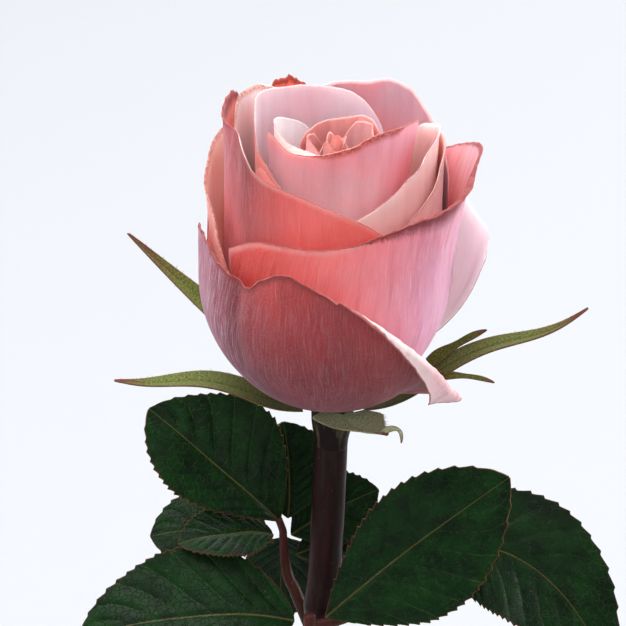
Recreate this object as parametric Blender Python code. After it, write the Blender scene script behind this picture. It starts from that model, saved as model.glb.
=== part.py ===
"""A cut rose: one bloom of nested petals, its calyx, a stem trimmed for a small vase and two compound leaves.

Units are metres and +Z is up.  The origin is the middle of the stem's cut end.
An azimuth is measured round the bloom in degrees: 0 faces -Y, 90 faces +X.
"""

import math

import bpy
import numpy as np

# ---------------------------------------------------------------- driving dimensions
MM = 0.001
STEM_LENGTH = 170.0        # cut end to the foot of the hip, in millimetres
STEM_FOOT_RADIUS = 3.6
STEM_TOP_RADIUS = 3.3
BLOOM_BASE = (6.0, 0.0, 180.5)   # where the petals start, in millimetres
BLOOM_LEAN = 0.03          # sideways drift of the bloom's axis per millimetre of height
LEAF_NODE = 134.0          # height of the upper leaf joint on the stem

BELLY_HEIGHT = 28.0        # height at which a petal's wall stands upright
BELLY_POWER = 0.6          # fullness of the bowl under it
CLAW_RADIUS = (1.0, 5.5)   # where innermost and outermost petals sit on the receptacle
CLAW_HEIGHT = (13.0, 1.0)
CLAW_WIDTH = 0.34          # a petal's foot as a share of its full width
CLAW_SPREAD = 0.55         # how far up a petal reaches its full width
OUTER_WALL = 27.0          # wall radius of an outermost petal

PETAL_THICK = 0.45
INNER_THICK = 0.34
LEAF_THICK = 0.40

# ---------------------------------------------------------------- petals
# wall: (azimuth, radius) where the petal stands upright
# rim: (azimuth, height) of its top edge, measured from the bloom's base
# flare: (azimuth, push) outwards at the rim; a minus sign closes the petal inwards
# curl: (azimuth, length) of edge rolled outwards past the rim
# foot: the foot's width as a share of the full width; spread: how far up it reaches that width
PETALS = {
    "petal_outer_front": {
        "wall": ((-102, 26.6), (-60, 26.6), (-20, 26.6), (30, 26.2), (74, 25.0)),
        "rim": ((-102, 27), (-82, 39), (-62, 37), (-50, 34.5), (-41, 33), (-32, 36), (-22, 38.2),
                (-12, 36), (2, 32.5), (14, 28.6), (26, 23.6), (44, 15.8), (60, 9.6), (74, 4.6)),
        "flare": ((-102, 0.5), (-60, 0.2), (-20, 0.3), (20, 1.0), (50, 3.2), (62, 5.5), (74, 11.5)),
        "curl": ((-102, 0), (-6, 0), (8, 0.8), (25, 2.4), (44, 6.4), (60, 4.6), (74, 1.2)),
    },
    "petal_outer_left": {
        "wall": ((-172, 25.4), (-120, 24.8), (-90, 24.4), (-65, 24.5), (-47, 24.9)),
        "rim": ((-172, 36), (-145, 50), (-122, 52.5), (-102, 49), (-86, 46), (-74, 43), (-64, 37.5),
                (-47, 29)),
        "flare": ((-172, 0.6), (-120, 1.0), (-86, 1.4), (-47, 0)),
    },
    "petal_outer_right": {
        "wall": ((86, 25.6), (110, 26.2), (140, 26.7), (188, 27.4)),
        "rim": ((86, 31), (92, 34), (98, 35), (112, 36.5), (124, 39.5), (150, 41), (176, 35), (188, 27)),
        "flare": ((86, 3.0), (98, 2.8), (124, 1.6), (188, 0.4)),
        "foot": 0.2,
        "spread": 1.0,
    },
    "petal_outer_back": {
        "wall": ((-216, 24.8), (-190, 25.6), (-170, 26.7), (-140, 27.2), (-112, 27.6)),
        "rim": ((-216, 38), (-195, 47), (-176, 51), (-164, 56), (-157, 59), (-151, 56), (-138, 48),
                (-112, 36)),
        "flare": ((-216, 0), (-157, 0.6), (-112, 0)),
    },
    "petal_wrap_right": {
        "wall": ((-62, 23.4), (-20, 23.6), (10, 23.5), (45, 22.6), (80, 21.9), (128, 22.0)),
        "rim": ((-62, 37.5), (-40, 41.4), (-14, 42), (1, 43), (16, 44.8), (32, 46.5), (45, 47.8),
                (54, 49), (62, 50.6), (68, 51.6), (76, 53.4), (88, 54), (106, 51.5), (128, 47)),
        "flare": ((-62, 0.3), (0, 0.4), (32, 1.8), (54, 3.6), (75, 4.6), (95, 3.6), (128, 2.0)),
        "curl": ((-62, 0), (10, 0), (32, 1.1), (60, 1.5), (70, 1.0), (78, 0), (128, 0)),
    },
    "petal_second_left": {
        "wall": ((-128, 22.2), (-95, 21.8), (-60, 21.4), (-30, 20.8), (10, 20.6), (42, 20.6)),
        "rim": ((-128, 56), (-110, 62), (-92, 60.4), (-72, 60), (-60, 58), (-49, 54), (-33, 52.2),
                (-13, 50), (7, 46.8), (20, 44), (42, 36)),
        "flare": ((-128, 0.6), (-100, 0.9), (-60, 0.4), (-30, 0), (42, 0)),
    },
    "petal_second_right": {
        "wall": ((24, 19.5), (60, 19.6), (90, 19.7), (148, 20.2)),
        "rim": ((24, 38), (41, 44.6), (48, 45.8), (57, 47.8), (66, 50.4), (74, 53), (90, 55),
                (115, 53.4), (148, 46)),
    },
    "petal_second_back": {
        "wall": ((92, 20.8), (125, 21.0), (150, 21.3), (180, 22.0), (212, 22.8)),
        "rim": ((92, 44), (108, 49), (122, 53.6), (134, 56.8), (143, 58.8), (154, 59.6), (168, 58.2),
                (180, 58.0), (192, 56.6), (212, 49)),
        "flare": ((92, 0), (122, 0.1), (146, 0.5), (212, 0)),
    },
    "petal_third_left": {
        "wall": ((-174, 20.2), (-130, 20.2), (-90, 19.9), (-60, 19.6), (-38, 19.2)),
        "rim": ((-174, 48), (-160, 55), (-148, 58), (-140, 59.4), (-126, 61.2), (-112, 61.4),
                (-98, 59.4), (-80, 55), (-60, 46), (-38, 37)),
        "flare": ((-174, 0), (-126, 0.8), (-98, 0.4), (-38, 0)),
    },
    "petal_third_right": {
        "wall": ((-28, 18.6), (10, 18.4), (40, 18.1), (74, 17.9), (136, 18.6)),
        "rim": ((-28, 36), (-8, 42.5), (8, 46), (18, 47.8), (31, 50), (42, 52), (52, 53.6), (57, 55.6),
                (65, 57), (75, 58.4), (90, 57.6), (108, 55.6), (124, 54), (136, 50)),
        "flare": ((-28, 0), (31, 0.2), (60, 0.6), (80, 0.7), (110, 0.2), (136, 0)),
    },
    "petal_third_front": {
        "wall": ((-68, 17.7), (-30, 17.2), (10, 16.9), (46, 16.6)),
        "rim": ((-68, 52), (-60, 53), (-30, 48), (0, 44), (46, 37)),
    },
    "petal_arch_back": {
        "wall": ((-213, 16.6), (-170, 16.6), (-120, 16.4), (-90, 16.0), (-60, 15.6), (-40, 15.7)),
        "rim": ((-213, 48), (-207, 52.6), (-200, 55.4), (-193, 57.2), (-184, 58.6), (-171, 59.4), (-155, 60.2),
                (-140, 60.6), (-122, 61.3), (-108, 60.6), (-90, 57.2), (-71, 54.6), (-57, 52.4),
                (-40, 49)),
        "flare": ((-213, 0), (-170, 0.7), (-122, 1.1), (-90, 0.6), (-57, 0.7), (-40, 0.5)),
    },
    "petal_cup_front": {
        "wall": ((-80, 13.5), (-40, 13.6), (0, 13.2), (40, 12.2), (90, 11.6), (146, 13.0)),
        "rim": ((-80, 57), (-74, 58.4), (-53, 57.8), (-41, 57.2), (-28, 57.2), (-15, 57.6), (-2, 58.3),
                (9, 59.2), (20, 60.9), (30, 61.7), (41, 61.4), (54, 61.1), (70, 60.7), (84, 59.7),
                (105, 55.4), (146, 51.5)),
        "flare": ((-80, 1.1), (-40, 0.9), (0, 1.2), (40, 1.8), (84, 2.6), (105, 2.0), (146, 0.6)),
    },
    "petal_cup_left": {
        "wall": ((-160, 12.1), (-120, 12.0), (-90, 11.9), (-50, 11.8), (-14, 11.4)),
        "rim": ((-160, 49), (-148, 53.6), (-130, 56), (-98, 58.4), (-72, 57.6), (-50, 57), (-32, 56.6),
                (-14, 55)),
        "flare": ((-160, 0.2), (-98, 1.0), (-72, 0.5), (-50, 0.3), (-14, 0)),
    },
    "petal_cup_right": {
        "wall": ((66, 9.7), (100, 10.0), (140, 10.6), (186, 10.8)),
        "rim": ((66, 47), (90, 50), (130, 51.8), (160, 50.5), (186, 46)),
    },
    "petal_inner_front": {
        "wall": ((-46, 9.7), (0, 9.9), (40, 9.5), (74, 9.0)),
        "rim": ((-46, 50), (-20, 54), (10, 55), (40, 54), (74, 49)),
    },
    "petal_inner_back": {
        "wall": ((-262, 8.2), (-210, 8.1), (-160, 8.2), (-120, 8.1), (-84, 8.0)),
        "rim": ((-262, 52), (-248, 54.6), (-230, 57), (-214, 57.3), (-190, 56.5), (-160, 56),
                (-130, 55.2), (-106, 53.8), (-84, 51)),
        "flare": ((-262, -0.6), (-214, -0.2), (-160, 0), (-84, -0.4)),
    },
    "petal_inner_right": {
        "wall": ((60, 6.4), (100, 6.6), (140, 6.8), (178, 6.8)),
        "rim": ((60, 50), (90, 54.6), (120, 57), (150, 56.6), (178, 53)),
        "flare": ((60, -0.4), (178, -0.4)),
    },
    "petal_inner_left": {
        "wall": ((-150, 6.9), (-110, 6.9), (-70, 6.7), (-30, 6.4), (-4, 6.3)),
        "rim": ((-150, 51), (-120, 55), (-88, 55.6), (-50, 54), (-4, 49)),
        "flare": ((-150, -0.7), (-88, -0.5), (-4, -0.9)),
    },
}

BUD_PETALS = 6             # the last petals, rolled round one another into a point
BUD_AXIS = (-1.2, 0.3)     # the bud sits a little off the bloom's axis
BUD_TURN = 137.5
BUD_TOP = 56.6

# ---------------------------------------------------------------- sepals
# lift: height gained at the tip; bow: extra height half way; sweep: sideways drift of the tip
SEPALS = {
    "sepal_left": {"azimuth": -88, "length": 43, "half": 5.2, "lift": 6.4, "bow": 4.0, "sweep": 0},
    "sepal_left_back": {"azimuth": -150, "length": 44, "half": 4.8, "lift": 25.5, "bow": 1.6, "sweep": 22},
    "sepal_right": {"azimuth": 92, "length": 50, "half": 4.8, "lift": 20.5, "bow": 6.0, "sweep": 0},
    "sepal_front": {"azimuth": 7, "length": 17, "half": 7.4, "lift": 0.8, "bow": -0.8, "sweep": 7},
    "sepal_back": {"azimuth": 150, "length": 42, "half": 4.7, "lift": 10, "bow": 2.0, "sweep": 0},
}
SEPAL_FOOT = (6.0, -1.3)   # where a sepal leaves the calyx: radius and height

# ---------------------------------------------------------------- leaves
# Places are measured from the bloom's base, in millimetres: foot, a point the midrib bends towards, tip.
# widest: how far along the midrib the leaflet is broadest
LEAFLETS = {
    "leaflet_back_top": {"foot": (-10.6, 8, -31.6), "bend": (-22, 7, -19), "tip": (-37, 12, -8),
                         "face": (0.12, -0.8, 0.6), "half": 12.2, "cup": 0.10, "widest": 0.56,
                         "skew": -0.45},
    "leaflet_back_left": {"foot": (-11.8, 6.4, -33.6), "bend": (-20, 3, -30), "tip": (-31, -1, -32),
                          "face": (0, -0.35, 0.95), "half": 7.0, "cup": 0.10, "widest": 0.52},
    "leaflet_back_dark": {"foot": (-12.0, 11.5, -38.0), "bend": (-22, 15, -35), "tip": (-37.5, 17, -40),
                          "face": (0, -0.6, 0.8), "half": 9.5, "cup": 0.10, "widest": 0.6},
    "leaflet_back_up": {"foot": (-9.0, 11.0, -32.5), "bend": (-8, 15, -23), "tip": (-10, 18, -14),
                        "face": (0.1, -0.95, 0.2), "half": 8.6, "cup": 0.10, "widest": 0.55},
    "leaflet_back_right": {"foot": (-8.4, 11.5, -36.6), "bend": (-1, 14, -32), "tip": (9.5, 14, -27.5),
                           "face": (0.1, -0.8, 0.6), "half": 7.5, "cup": 0.10, "widest": 0.55},
    "leaflet_back_low_right": {"foot": (-7.4, 10.5, -40.5), "bend": (0, 12, -38), "tip": (8.5, 10, -36.5),
                               "face": (0, -0.6, 0.8), "half": 4.6, "cup": 0.10, "widest": 0.5},
    "leaflet_back_low_left": {"foot": (-9.8, 13.6, -38.5), "bend": (-10.5, 17, -46), "tip": (-11, 19, -63),
                              "face": (0.1, -0.95, 0.25), "half": 7.6, "cup": 0.08, "widest": 0.4},
    "leaflet_front_left": {"foot": (-7.6, -8, -45.5), "bend": (-28, -10, -40), "tip": (-51, -10, -49),
                           "face": (0, -0.62, 0.78), "half": 14.0, "cup": 0.12, "widest": 0.48},
    "leaflet_front_right": {"foot": (-1.6, -9, -44.5), "bend": (13, -12, -28), "tip": (34.5, -13, -10.5),
                            "face": (0.1, -0.88, 0.46), "half": 13.0, "cup": 0.12, "widest": 0.58,
                            "skew": -0.3},
    "leaflet_front_end": {"foot": (18, 2, -37), "bend": (42, 2, -25), "tip": (57, -4, -62),
                          "face": (0.2, -0.7, 0.7), "half": 13.5, "cup": 0.12, "widest": 0.45},
}

# The two leaf stalks, with a short stalk to each leaflet that does not sit at the end.
STALKS = {
    "petiole_back": {"path": ((-6.9, 4.0, -46.5), (-10.4, 8, -44), (-9.6, 10, -38), (-10.2, 8.3, -32.6)),
                     "radii": (1.25, 0.75), "steps": 12},
    "petiole_front": {"path": ((-4.4, -5.2, -72), (-4.6, -13, -64), (-4.8, -9.5, -50), (-4.4, -8.8, -46)),
                      "radii": (1.5, 1.2), "steps": 12},
    "rachis_front": {"path": ((-2.6, -7.4, -46.4), (4, -4.2, -49), (12, 1, -44), (17, 2, -38.2)),
                     "radii": (1.0, 0.8), "steps": 10},
}


# ---------------------------------------------------------------- curves
def along(pairs, place):
    """A smooth curve through (place, value) pairs, level outside them."""
    xs = [float(p[0]) for p in pairs]
    ys = [float(p[1]) for p in pairs]
    if place <= xs[0]:
        return ys[0]
    if place >= xs[-1]:
        return ys[-1]
    i = max(k for k in range(len(xs) - 1) if xs[k] <= place)
    slopes = [(ys[k + 1] - ys[k]) / (xs[k + 1] - xs[k]) for k in range(len(xs) - 1)]

    def tangent(k):
        if k == 0:
            return slopes[0]
        if k == len(xs) - 1:
            return slopes[-1]
        if slopes[k - 1] * slopes[k] <= 0:
            return 0.0
        return 2 * slopes[k - 1] * slopes[k] / (slopes[k - 1] + slopes[k])

    width = xs[i + 1] - xs[i]
    u = (place - xs[i]) / width
    a = (1 + 2 * u) * (1 - u) ** 2 * ys[i] + u * (1 - u) ** 2 * width * tangent(i)
    b = u * u * (3 - 2 * u) * ys[i + 1] + u * u * (u - 1) * width * tangent(i + 1)
    return a + b


def ease(low, high, value):
    u = min(1.0, max(0.0, (value - low) / (high - low)))
    return u * u * (3 - 2 * u)


def outward(azimuth):
    a = math.radians(azimuth)
    return np.array([math.sin(a), -math.cos(a), 0.0])


def unit(vector):
    return np.asarray(vector, float) / max(1e-9, float(np.linalg.norm(vector)))


# ---------------------------------------------------------------- petals as surfaces
def bowl(rise):
    u = min(1.0, max(0.0, rise))
    return (1 - (1 - u) ** 2) ** BELLY_POWER


def claw(wall):
    """Radius and height of the foot of a petal with this wall radius."""
    share = min(1.0, wall / OUTER_WALL)
    radius = CLAW_RADIUS[0] + (CLAW_RADIUS[1] - CLAW_RADIUS[0]) * share
    height = CLAW_HEIGHT[0] + (CLAW_HEIGHT[1] - CLAW_HEIGHT[0]) * share
    return radius, height


def petal_wall_point(petal, azimuth, share):
    """A point of the upright part, with share 0 at the foot and 1 at the rim."""
    first, last = petal["rim"][0][0], petal["rim"][-1][0]
    middle = (first + last) / 2
    mean_wall = sum(w for _, w in petal["wall"]) / len(petal["wall"])
    foot_radius, foot_height = claw(mean_wall)
    rim = along(petal["rim"], azimuth)
    wall = along(petal["wall"], azimuth)
    flare = along(petal.get("flare", ((0, 0),)), azimuth)
    z = foot_height + (rim - foot_height) * share ** 1.5
    radius = foot_radius + (wall - foot_radius) * bowl((z - foot_height) / (BELLY_HEIGHT - foot_height))
    start = min(BELLY_HEIGHT + 2, 0.45 * rim)
    if z > start:
        radius += flare * ((z - start) / max(1.0, rim - start)) ** 2
    narrow = petal.get("foot", CLAW_WIDTH)
    width = narrow + (1 - narrow) * ease(0.0, petal.get("spread", CLAW_SPREAD), share)
    at = outward(middle + (azimuth - middle) * width) * radius
    return np.array([at[0] + BLOOM_LEAN * z, at[1], z])


def rolled(point, up, out, length, radius, turn):
    """A point on an edge that rolls outwards from `up` towards `out` round a small radius."""
    angle = min(length / radius, turn)
    rest = length - angle * radius
    at = point + up * (radius * math.sin(angle)) + out * (radius * (1 - math.cos(angle)))
    return at + (up * math.cos(angle) + out * math.sin(angle)) * rest


def petal_grid(petal, columns, rows, curl_rows):
    first, last = petal["rim"][0][0], petal["rim"][-1][0]
    grid = []
    for i in range(columns + 1):
        azimuth = first + (last - first) * i / columns
        line = [petal_wall_point(petal, azimuth, j / rows) for j in range(rows + 1)]
        if "curl" in petal:
            up = unit(line[-1] - line[-2])
            out = outward(azimuth)
            out = unit(out - up * float(np.dot(out, up)))
            length = max(0.35, along(petal["curl"], azimuth))
            for k in range(1, curl_rows + 1):
                line.append(rolled(line[rows], up, out, length * k / curl_rows, 1.15, 2.75))
        grid.append(line)
    return np.array(grid)


def bud_grid(index, columns, rows):
    """One petal of the pointed bud; each one further in is narrower and a little taller."""
    wall = 1.15 + 0.64 * (BUD_PETALS - 1 - index)
    top = BUD_TOP - 0.5 * (BUD_PETALS - 1 - index)
    middle = 40 + BUD_TURN * index
    half = 104.0
    foot_radius, foot_height = claw(wall)
    foot_height += 1.0
    grid = []
    for i in range(columns + 1):
        t = -1 + 2 * i / columns
        line = []
        for j in range(rows + 1):
            share = j / rows
            rim = top - 5.0 * abs(t) ** 1.6
            z = foot_height + (rim - foot_height) * share ** 1.3
            swell = math.sin(math.pi * min(1.0, (z - foot_height) / (BUD_TOP + 3.0 - foot_height)) ** 0.8)
            radius = foot_radius + (wall + 0.35 * t - foot_radius) * max(0.12, swell) ** 0.55
            width = CLAW_WIDTH + (1 - CLAW_WIDTH) * ease(0.0, 0.5, share)
            at = outward(middle + half * t * width) * radius
            shift = ease(8.0, 40.0, z)
            line.append([at[0] + BUD_AXIS[0] * shift + BLOOM_LEAN * z, at[1] + BUD_AXIS[1] * shift, z])
        grid.append(line)
    return np.array(grid)


# ---------------------------------------------------------------- sepals and leaves as surfaces
def sepal_grid(sepal, columns, rows):
    """A tapering strip that leaves the calyx, runs under the bloom and lifts towards its tip."""
    out = outward(sepal["azimuth"])
    side = outward(sepal["azimuth"] + 90)
    grid = []
    for i in range(columns + 1):
        t = -1 + 2 * i / columns
        line = []
        for j in range(rows + 1):
            s = j / rows
            run = SEPAL_FOOT[0] + (sepal["length"] - SEPAL_FOOT[0]) * s
            z = SEPAL_FOOT[1] + sepal["lift"] * s ** 2 + sepal["bow"] * math.sin(math.pi * s) ** 2
            half = sepal["half"] * (0.6 + 0.4 * ease(0, 0.25, s)) * (1 - s ** 1.5) ** 0.9 + 0.3
            across = side * (half * t + sepal["sweep"] * s ** 1.6)
            line.append(out * run + across + np.array([0, 0, z + 0.16 * half * abs(t) ** 1.5]))
        grid.append(line)
    return np.array(grid)


def leaf_outline(s, widest):
    """Half width of a leaflet along its midrib, as a share of the widest."""
    power = math.log(0.5) / math.log(widest)
    return max(0.035, math.sin(math.pi * min(1.0, s) ** power) ** 0.72)


def leaflet_grid(leaf, columns, rows):
    foot, bend, tip = (np.array(leaf[k], float) for k in ("foot", "bend", "tip"))
    face = unit(leaf["face"])
    grid = []
    for i in range(columns + 1):
        t = -1 + 2 * i / columns
        line = []
        for j in range(rows + 1):
            s = j / rows
            at = foot * (1 - s) ** 2 + bend * 2 * s * (1 - s) + tip * s * s
            ahead = unit((bend - foot) * 2 * (1 - s) + (tip - bend) * 2 * s)
            side = unit(np.cross(face, ahead))
            up = unit(np.cross(ahead, side))
            half = leaf["half"] * leaf_outline(s, leaf["widest"])
            half *= 1 + leaf.get("skew", 0) * t * (1 - s)
            wave = 0.035 * half * math.sin(9 * s + 2 * t)
            line.append(at + side * (half * t) + up * (leaf["cup"] * half * abs(t) ** 1.3 + wave))
        grid.append(line)
    return np.array(grid)


# ---------------------------------------------------------------- solids
def surface_normals(grid):
    across = np.gradient(grid, axis=0)
    ahead = np.gradient(grid, axis=1)
    normals = np.cross(across, ahead)
    return normals / np.maximum(1e-9, np.linalg.norm(normals, axis=2, keepdims=True))


def add_mesh(name, points, faces, colour, smooth=True):
    """Millimetres in, metres out, as one shaded object with a material of its own."""
    mesh = bpy.data.meshes.new(name)
    mesh.from_pydata([tuple(float(c) * MM for c in p) for p in points], [], faces)
    mesh.validate()
    mesh.update()
    for polygon in mesh.polygons:
        polygon.use_smooth = smooth
    obj = bpy.data.objects.new(name, mesh)
    bpy.context.scene.collection.objects.link(obj)
    material = bpy.data.materials.new(name)
    material.use_nodes = True
    shader = material.node_tree.nodes["Principled BSDF"]
    shader.inputs["Base Color"].default_value = (*colour, 1)
    shader.inputs["Roughness"].default_value = 0.6
    mesh.materials.append(material)
    return obj


def add_shell(name, grid, thick, colour, at=BLOOM_BASE):
    """Gives a surface a thickness: two skins and the wall round their edge."""
    columns, rows = grid.shape[0], grid.shape[1]
    normals = surface_normals(grid)
    skins = np.concatenate([(grid + normals * thick / 2).reshape(-1, 3),
                            (grid - normals * thick / 2).reshape(-1, 3)]) + np.array(at)
    size = columns * rows

    def corner(i, j, skin):
        return skin * size + i * rows + j

    faces = []
    for i in range(columns - 1):
        for j in range(rows - 1):
            loop = ((i, j), (i + 1, j), (i + 1, j + 1), (i, j + 1))
            faces.append([corner(a, b, 0) for a, b in loop])
            faces.append([corner(a, b, 1) for a, b in reversed(loop)])
    edge = [(i, 0) for i in range(columns)]
    edge += [(columns - 1, j) for j in range(1, rows)]
    edge += [(i, rows - 1) for i in range(columns - 2, -1, -1)]
    edge += [(0, j) for j in range(rows - 2, 0, -1)]
    for k, (i, j) in enumerate(edge):
        m, n = edge[(k + 1) % len(edge)]
        faces.append([corner(i, j, 0), corner(i, j, 1), corner(m, n, 1), corner(m, n, 0)])
    return add_mesh(name, skins, faces, colour)


def add_tube(name, path, radii, sides, colour, flat_start=False):
    """A tube through the path's points with a flat disc at each end."""
    path = np.array(path, float)
    ahead = np.gradient(path, axis=0)
    if flat_start:
        ahead[0] = (0, 0, 1)
    side = np.array([1.0, 0.0, 0.0])
    points, faces = [], []
    for centre, direction, radius in zip(path, ahead, radii):
        direction = unit(direction)
        side = unit(side - direction * float(np.dot(side, direction)))
        other = np.cross(direction, side)
        for k in range(sides):
            a = 2 * math.pi * k / sides
            points.append(centre + (side * math.cos(a) + other * math.sin(a)) * radius)
    for ring in range(len(path) - 1):
        for k in range(sides):
            a, b = ring * sides + k, ring * sides + (k + 1) % sides
            faces.append([a, b, b + sides, a + sides])
    faces.append(list(range(sides))[::-1])
    faces.append(list(range((len(path) - 1) * sides, len(path) * sides)))
    return add_mesh(name, points, faces, colour)


def bezier(points, steps):
    """Points along a curve that starts at the first point, bends towards the middle ones, ends at the last."""
    points = [np.array(p, float) for p in points]
    out = []
    for k in range(steps + 1):
        u = k / steps
        layer = points
        while len(layer) > 1:
            layer = [a * (1 - u) + b * u for a, b in zip(layer, layer[1:])]
        out.append(layer[0])
    return out


# ---------------------------------------------------------------- sub-parts
def make_petals():
    for name, petal in PETALS.items():
        width = petal["rim"][-1][0] - petal["rim"][0][0]
        columns = max(7, round(width / 16))
        inner = petal["wall"][0][1] < 15
        thick = INNER_THICK if inner else PETAL_THICK
        grid = petal_grid(petal, columns, 6 if inner else 7, 3)
        add_shell(name, grid, thick, (0.80, 0.36, 0.36))


def make_bud():
    for index in range(BUD_PETALS):
        add_shell(f"petal_bud_{index + 1}", bud_grid(index, 8, 6), 0.3, (0.88, 0.45, 0.42))


def make_hip():
    """The green hip, with the receptacle that carries the petals standing inside the bloom."""
    profile = ((3.4, -10.0), (3.5, -8.4), (3.8, -6.4), (4.1, -4.2), (4.2, -2.4), (4.3, -0.6), (4.7, 0.4),
               (4.4, 2.2), (2.6, 7.0), (1.2, 11.0), (0.45, 13.2))
    path = [(BLOOM_LEAN * z, 0, z) for _, z in profile]
    path = [np.array(p) + np.array(BLOOM_BASE) for p in path]
    add_tube("hip", path, [r for r, _ in profile], 20, (0.20, 0.28, 0.10))


def make_sepals():
    for name, sepal in SEPALS.items():
        add_shell(name, sepal_grid(sepal, 4, 8), LEAF_THICK, (0.25, 0.35, 0.15))


def stem_centre(z):
    """The stem rises straight, then leans gently towards the bloom."""
    return np.array([BLOOM_BASE[0] * ease(20, 215, z) * 1.09, 0.0, z])


def make_stem():
    heights = [0, 6, 20, 40, 60, 80, 92, 98, 104, 116, 124, LEAF_NODE - 4, LEAF_NODE, LEAF_NODE + 4, 146,
               156, 163, STEM_LENGTH]
    radii = []
    for z in heights:
        radius = STEM_FOOT_RADIUS + (STEM_TOP_RADIUS - STEM_FOOT_RADIUS) * z / STEM_LENGTH
        for node in (LEAF_NODE, 98):
            radius += 0.5 * math.exp(-((z - node) / 4.0) ** 2)
        radii.append(radius)
    path = [stem_centre(z) for z in heights]
    add_tube("stem", path, radii, 16, (0.10, 0.04, 0.03), flat_start=True)


def make_leaves():
    for name, leaf in LEAFLETS.items():
        add_shell(name, leaflet_grid(leaf, 6, 8), LEAF_THICK, (0.04, 0.11, 0.04))
    for name, stalk in STALKS.items():
        path = [p + np.array(BLOOM_BASE) for p in bezier(stalk["path"], stalk["steps"])]
        thick, thin = stalk["radii"]
        radii = [thick + (thin - thick) * k / stalk["steps"] for k in range(stalk["steps"] + 1)]
        add_tube(name, path, radii, 8, (0.20, 0.16, 0.06))


def main():
    for obj in list(bpy.data.objects):
        bpy.data.objects.remove(obj)
    make_hip()
    make_petals()
    make_bud()
    make_sepals()
    make_stem()
    make_leaves()


main()
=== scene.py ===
# %% [markdown]
# # A cut rose, petal by petal
# This lesson builds a half-open florist's rose: a bloom of nested petals, a green calyx, a dark stem and two
# compound leaves.  The solid model is loaded first.  It fixes every size, and each finer piece made here takes
# the place of one of its solids.

# %% Load the solid model and keep its box
import math

import bpy
import numpy as np
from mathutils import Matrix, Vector


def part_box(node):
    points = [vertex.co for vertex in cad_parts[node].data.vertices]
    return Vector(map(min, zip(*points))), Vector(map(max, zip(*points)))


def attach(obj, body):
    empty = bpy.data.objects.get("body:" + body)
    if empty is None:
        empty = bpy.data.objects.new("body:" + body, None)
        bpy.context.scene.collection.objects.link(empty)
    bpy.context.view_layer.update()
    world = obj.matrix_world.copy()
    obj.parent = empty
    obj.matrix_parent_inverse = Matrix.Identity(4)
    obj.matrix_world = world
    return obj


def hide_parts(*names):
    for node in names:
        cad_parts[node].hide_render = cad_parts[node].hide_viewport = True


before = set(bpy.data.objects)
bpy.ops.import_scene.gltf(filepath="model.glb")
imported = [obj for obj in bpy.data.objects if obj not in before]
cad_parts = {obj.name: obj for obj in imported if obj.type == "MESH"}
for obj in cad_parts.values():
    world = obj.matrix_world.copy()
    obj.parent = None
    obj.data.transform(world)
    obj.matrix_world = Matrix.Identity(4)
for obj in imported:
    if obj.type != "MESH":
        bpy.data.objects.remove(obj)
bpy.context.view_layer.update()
print("solid pieces:", len(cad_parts))

# %% [markdown]
# ## Where the bloom stands
# All shapes below are worked out in millimetres from the foot of the bloom, which sits on top of the hip.
# An azimuth is an angle round the bloom: 0 faces the viewer and 90 faces right.  The bloom leans very
# slightly to the right, so its axis drifts sideways as it rises.

# %% Places shared by every piece
MM = 0.001
hip_low, hip_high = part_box("hip")
stem_low, stem_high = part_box("stem")
BLOOM_BASE = np.array([6.0, 0.0, 180.5])
BLOOM_LEAN = 0.03
print("hip from", round(hip_low.z * 1000, 1), "to", round(hip_high.z * 1000, 1), "mm")
print("stem is", round((stem_high.z - stem_low.z) * 1000, 1), "mm long")

# %% [markdown]
# ## Curves drawn through a few heights
# A petal's edge rises and falls as it goes round.  One could draw it by hand in the viewport, but a short list
# of (azimuth, height) pairs joined by a smooth curve is easier to change and gives the same edge every time.
# The curve never overshoots its pairs, which keeps neighbouring petals from touching.

# %% A smooth curve through a few pairs
def along(pairs, place):
    xs = [float(p[0]) for p in pairs]
    ys = [float(p[1]) for p in pairs]
    if place <= xs[0]:
        return ys[0]
    if place >= xs[-1]:
        return ys[-1]
    i = max(k for k in range(len(xs) - 1) if xs[k] <= place)
    slopes = [(ys[k + 1] - ys[k]) / (xs[k + 1] - xs[k]) for k in range(len(xs) - 1)]

    def tangent(k):
        if k == 0:
            return slopes[0]
        if k == len(xs) - 1:
            return slopes[-1]
        if slopes[k - 1] * slopes[k] <= 0:
            return 0.0
        return 2 * slopes[k - 1] * slopes[k] / (slopes[k - 1] + slopes[k])

    width = xs[i + 1] - xs[i]
    u = (place - xs[i]) / width
    a = (1 + 2 * u) * (1 - u) ** 2 * ys[i] + u * (1 - u) ** 2 * width * tangent(i)
    b = u * u * (3 - 2 * u) * ys[i + 1] + u * u * (u - 1) * width * tangent(i + 1)
    return a + b


def ease(low, high, value):
    u = min(1.0, max(0.0, (value - low) / (high - low)))
    return u * u * (3 - 2 * u)


def outward(azimuth):
    a = math.radians(azimuth)
    return np.array([math.sin(a), -math.cos(a), 0.0])


def unit(vector):
    return np.asarray(vector, float) / max(1e-9, float(np.linalg.norm(vector)))


print("half way between 10 and 20:", along(((0, 10), (1, 20)), 0.5))

# %% [markdown]
# ## Turning a surface into a petal with two faces
# A real petal is a thin leaf of tissue with an outer and an inner face.  A flat sheet would look like paper,
# because light could not sink in and spread.  So each surface gets two skins a fraction of a millimetre apart,
# joined round the edge and thinner there.  Each point also stores where it sits on the petal, and the
# materials read that to draw veins, pale edges and blushes.

# %% Two skins from one surface
def surface_normals(grid):
    across = np.gradient(grid, axis=0)
    ahead = np.gradient(grid, axis=1)
    normals = np.cross(across, ahead)
    return normals / np.maximum(1e-9, np.linalg.norm(normals, axis=2, keepdims=True))


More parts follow.
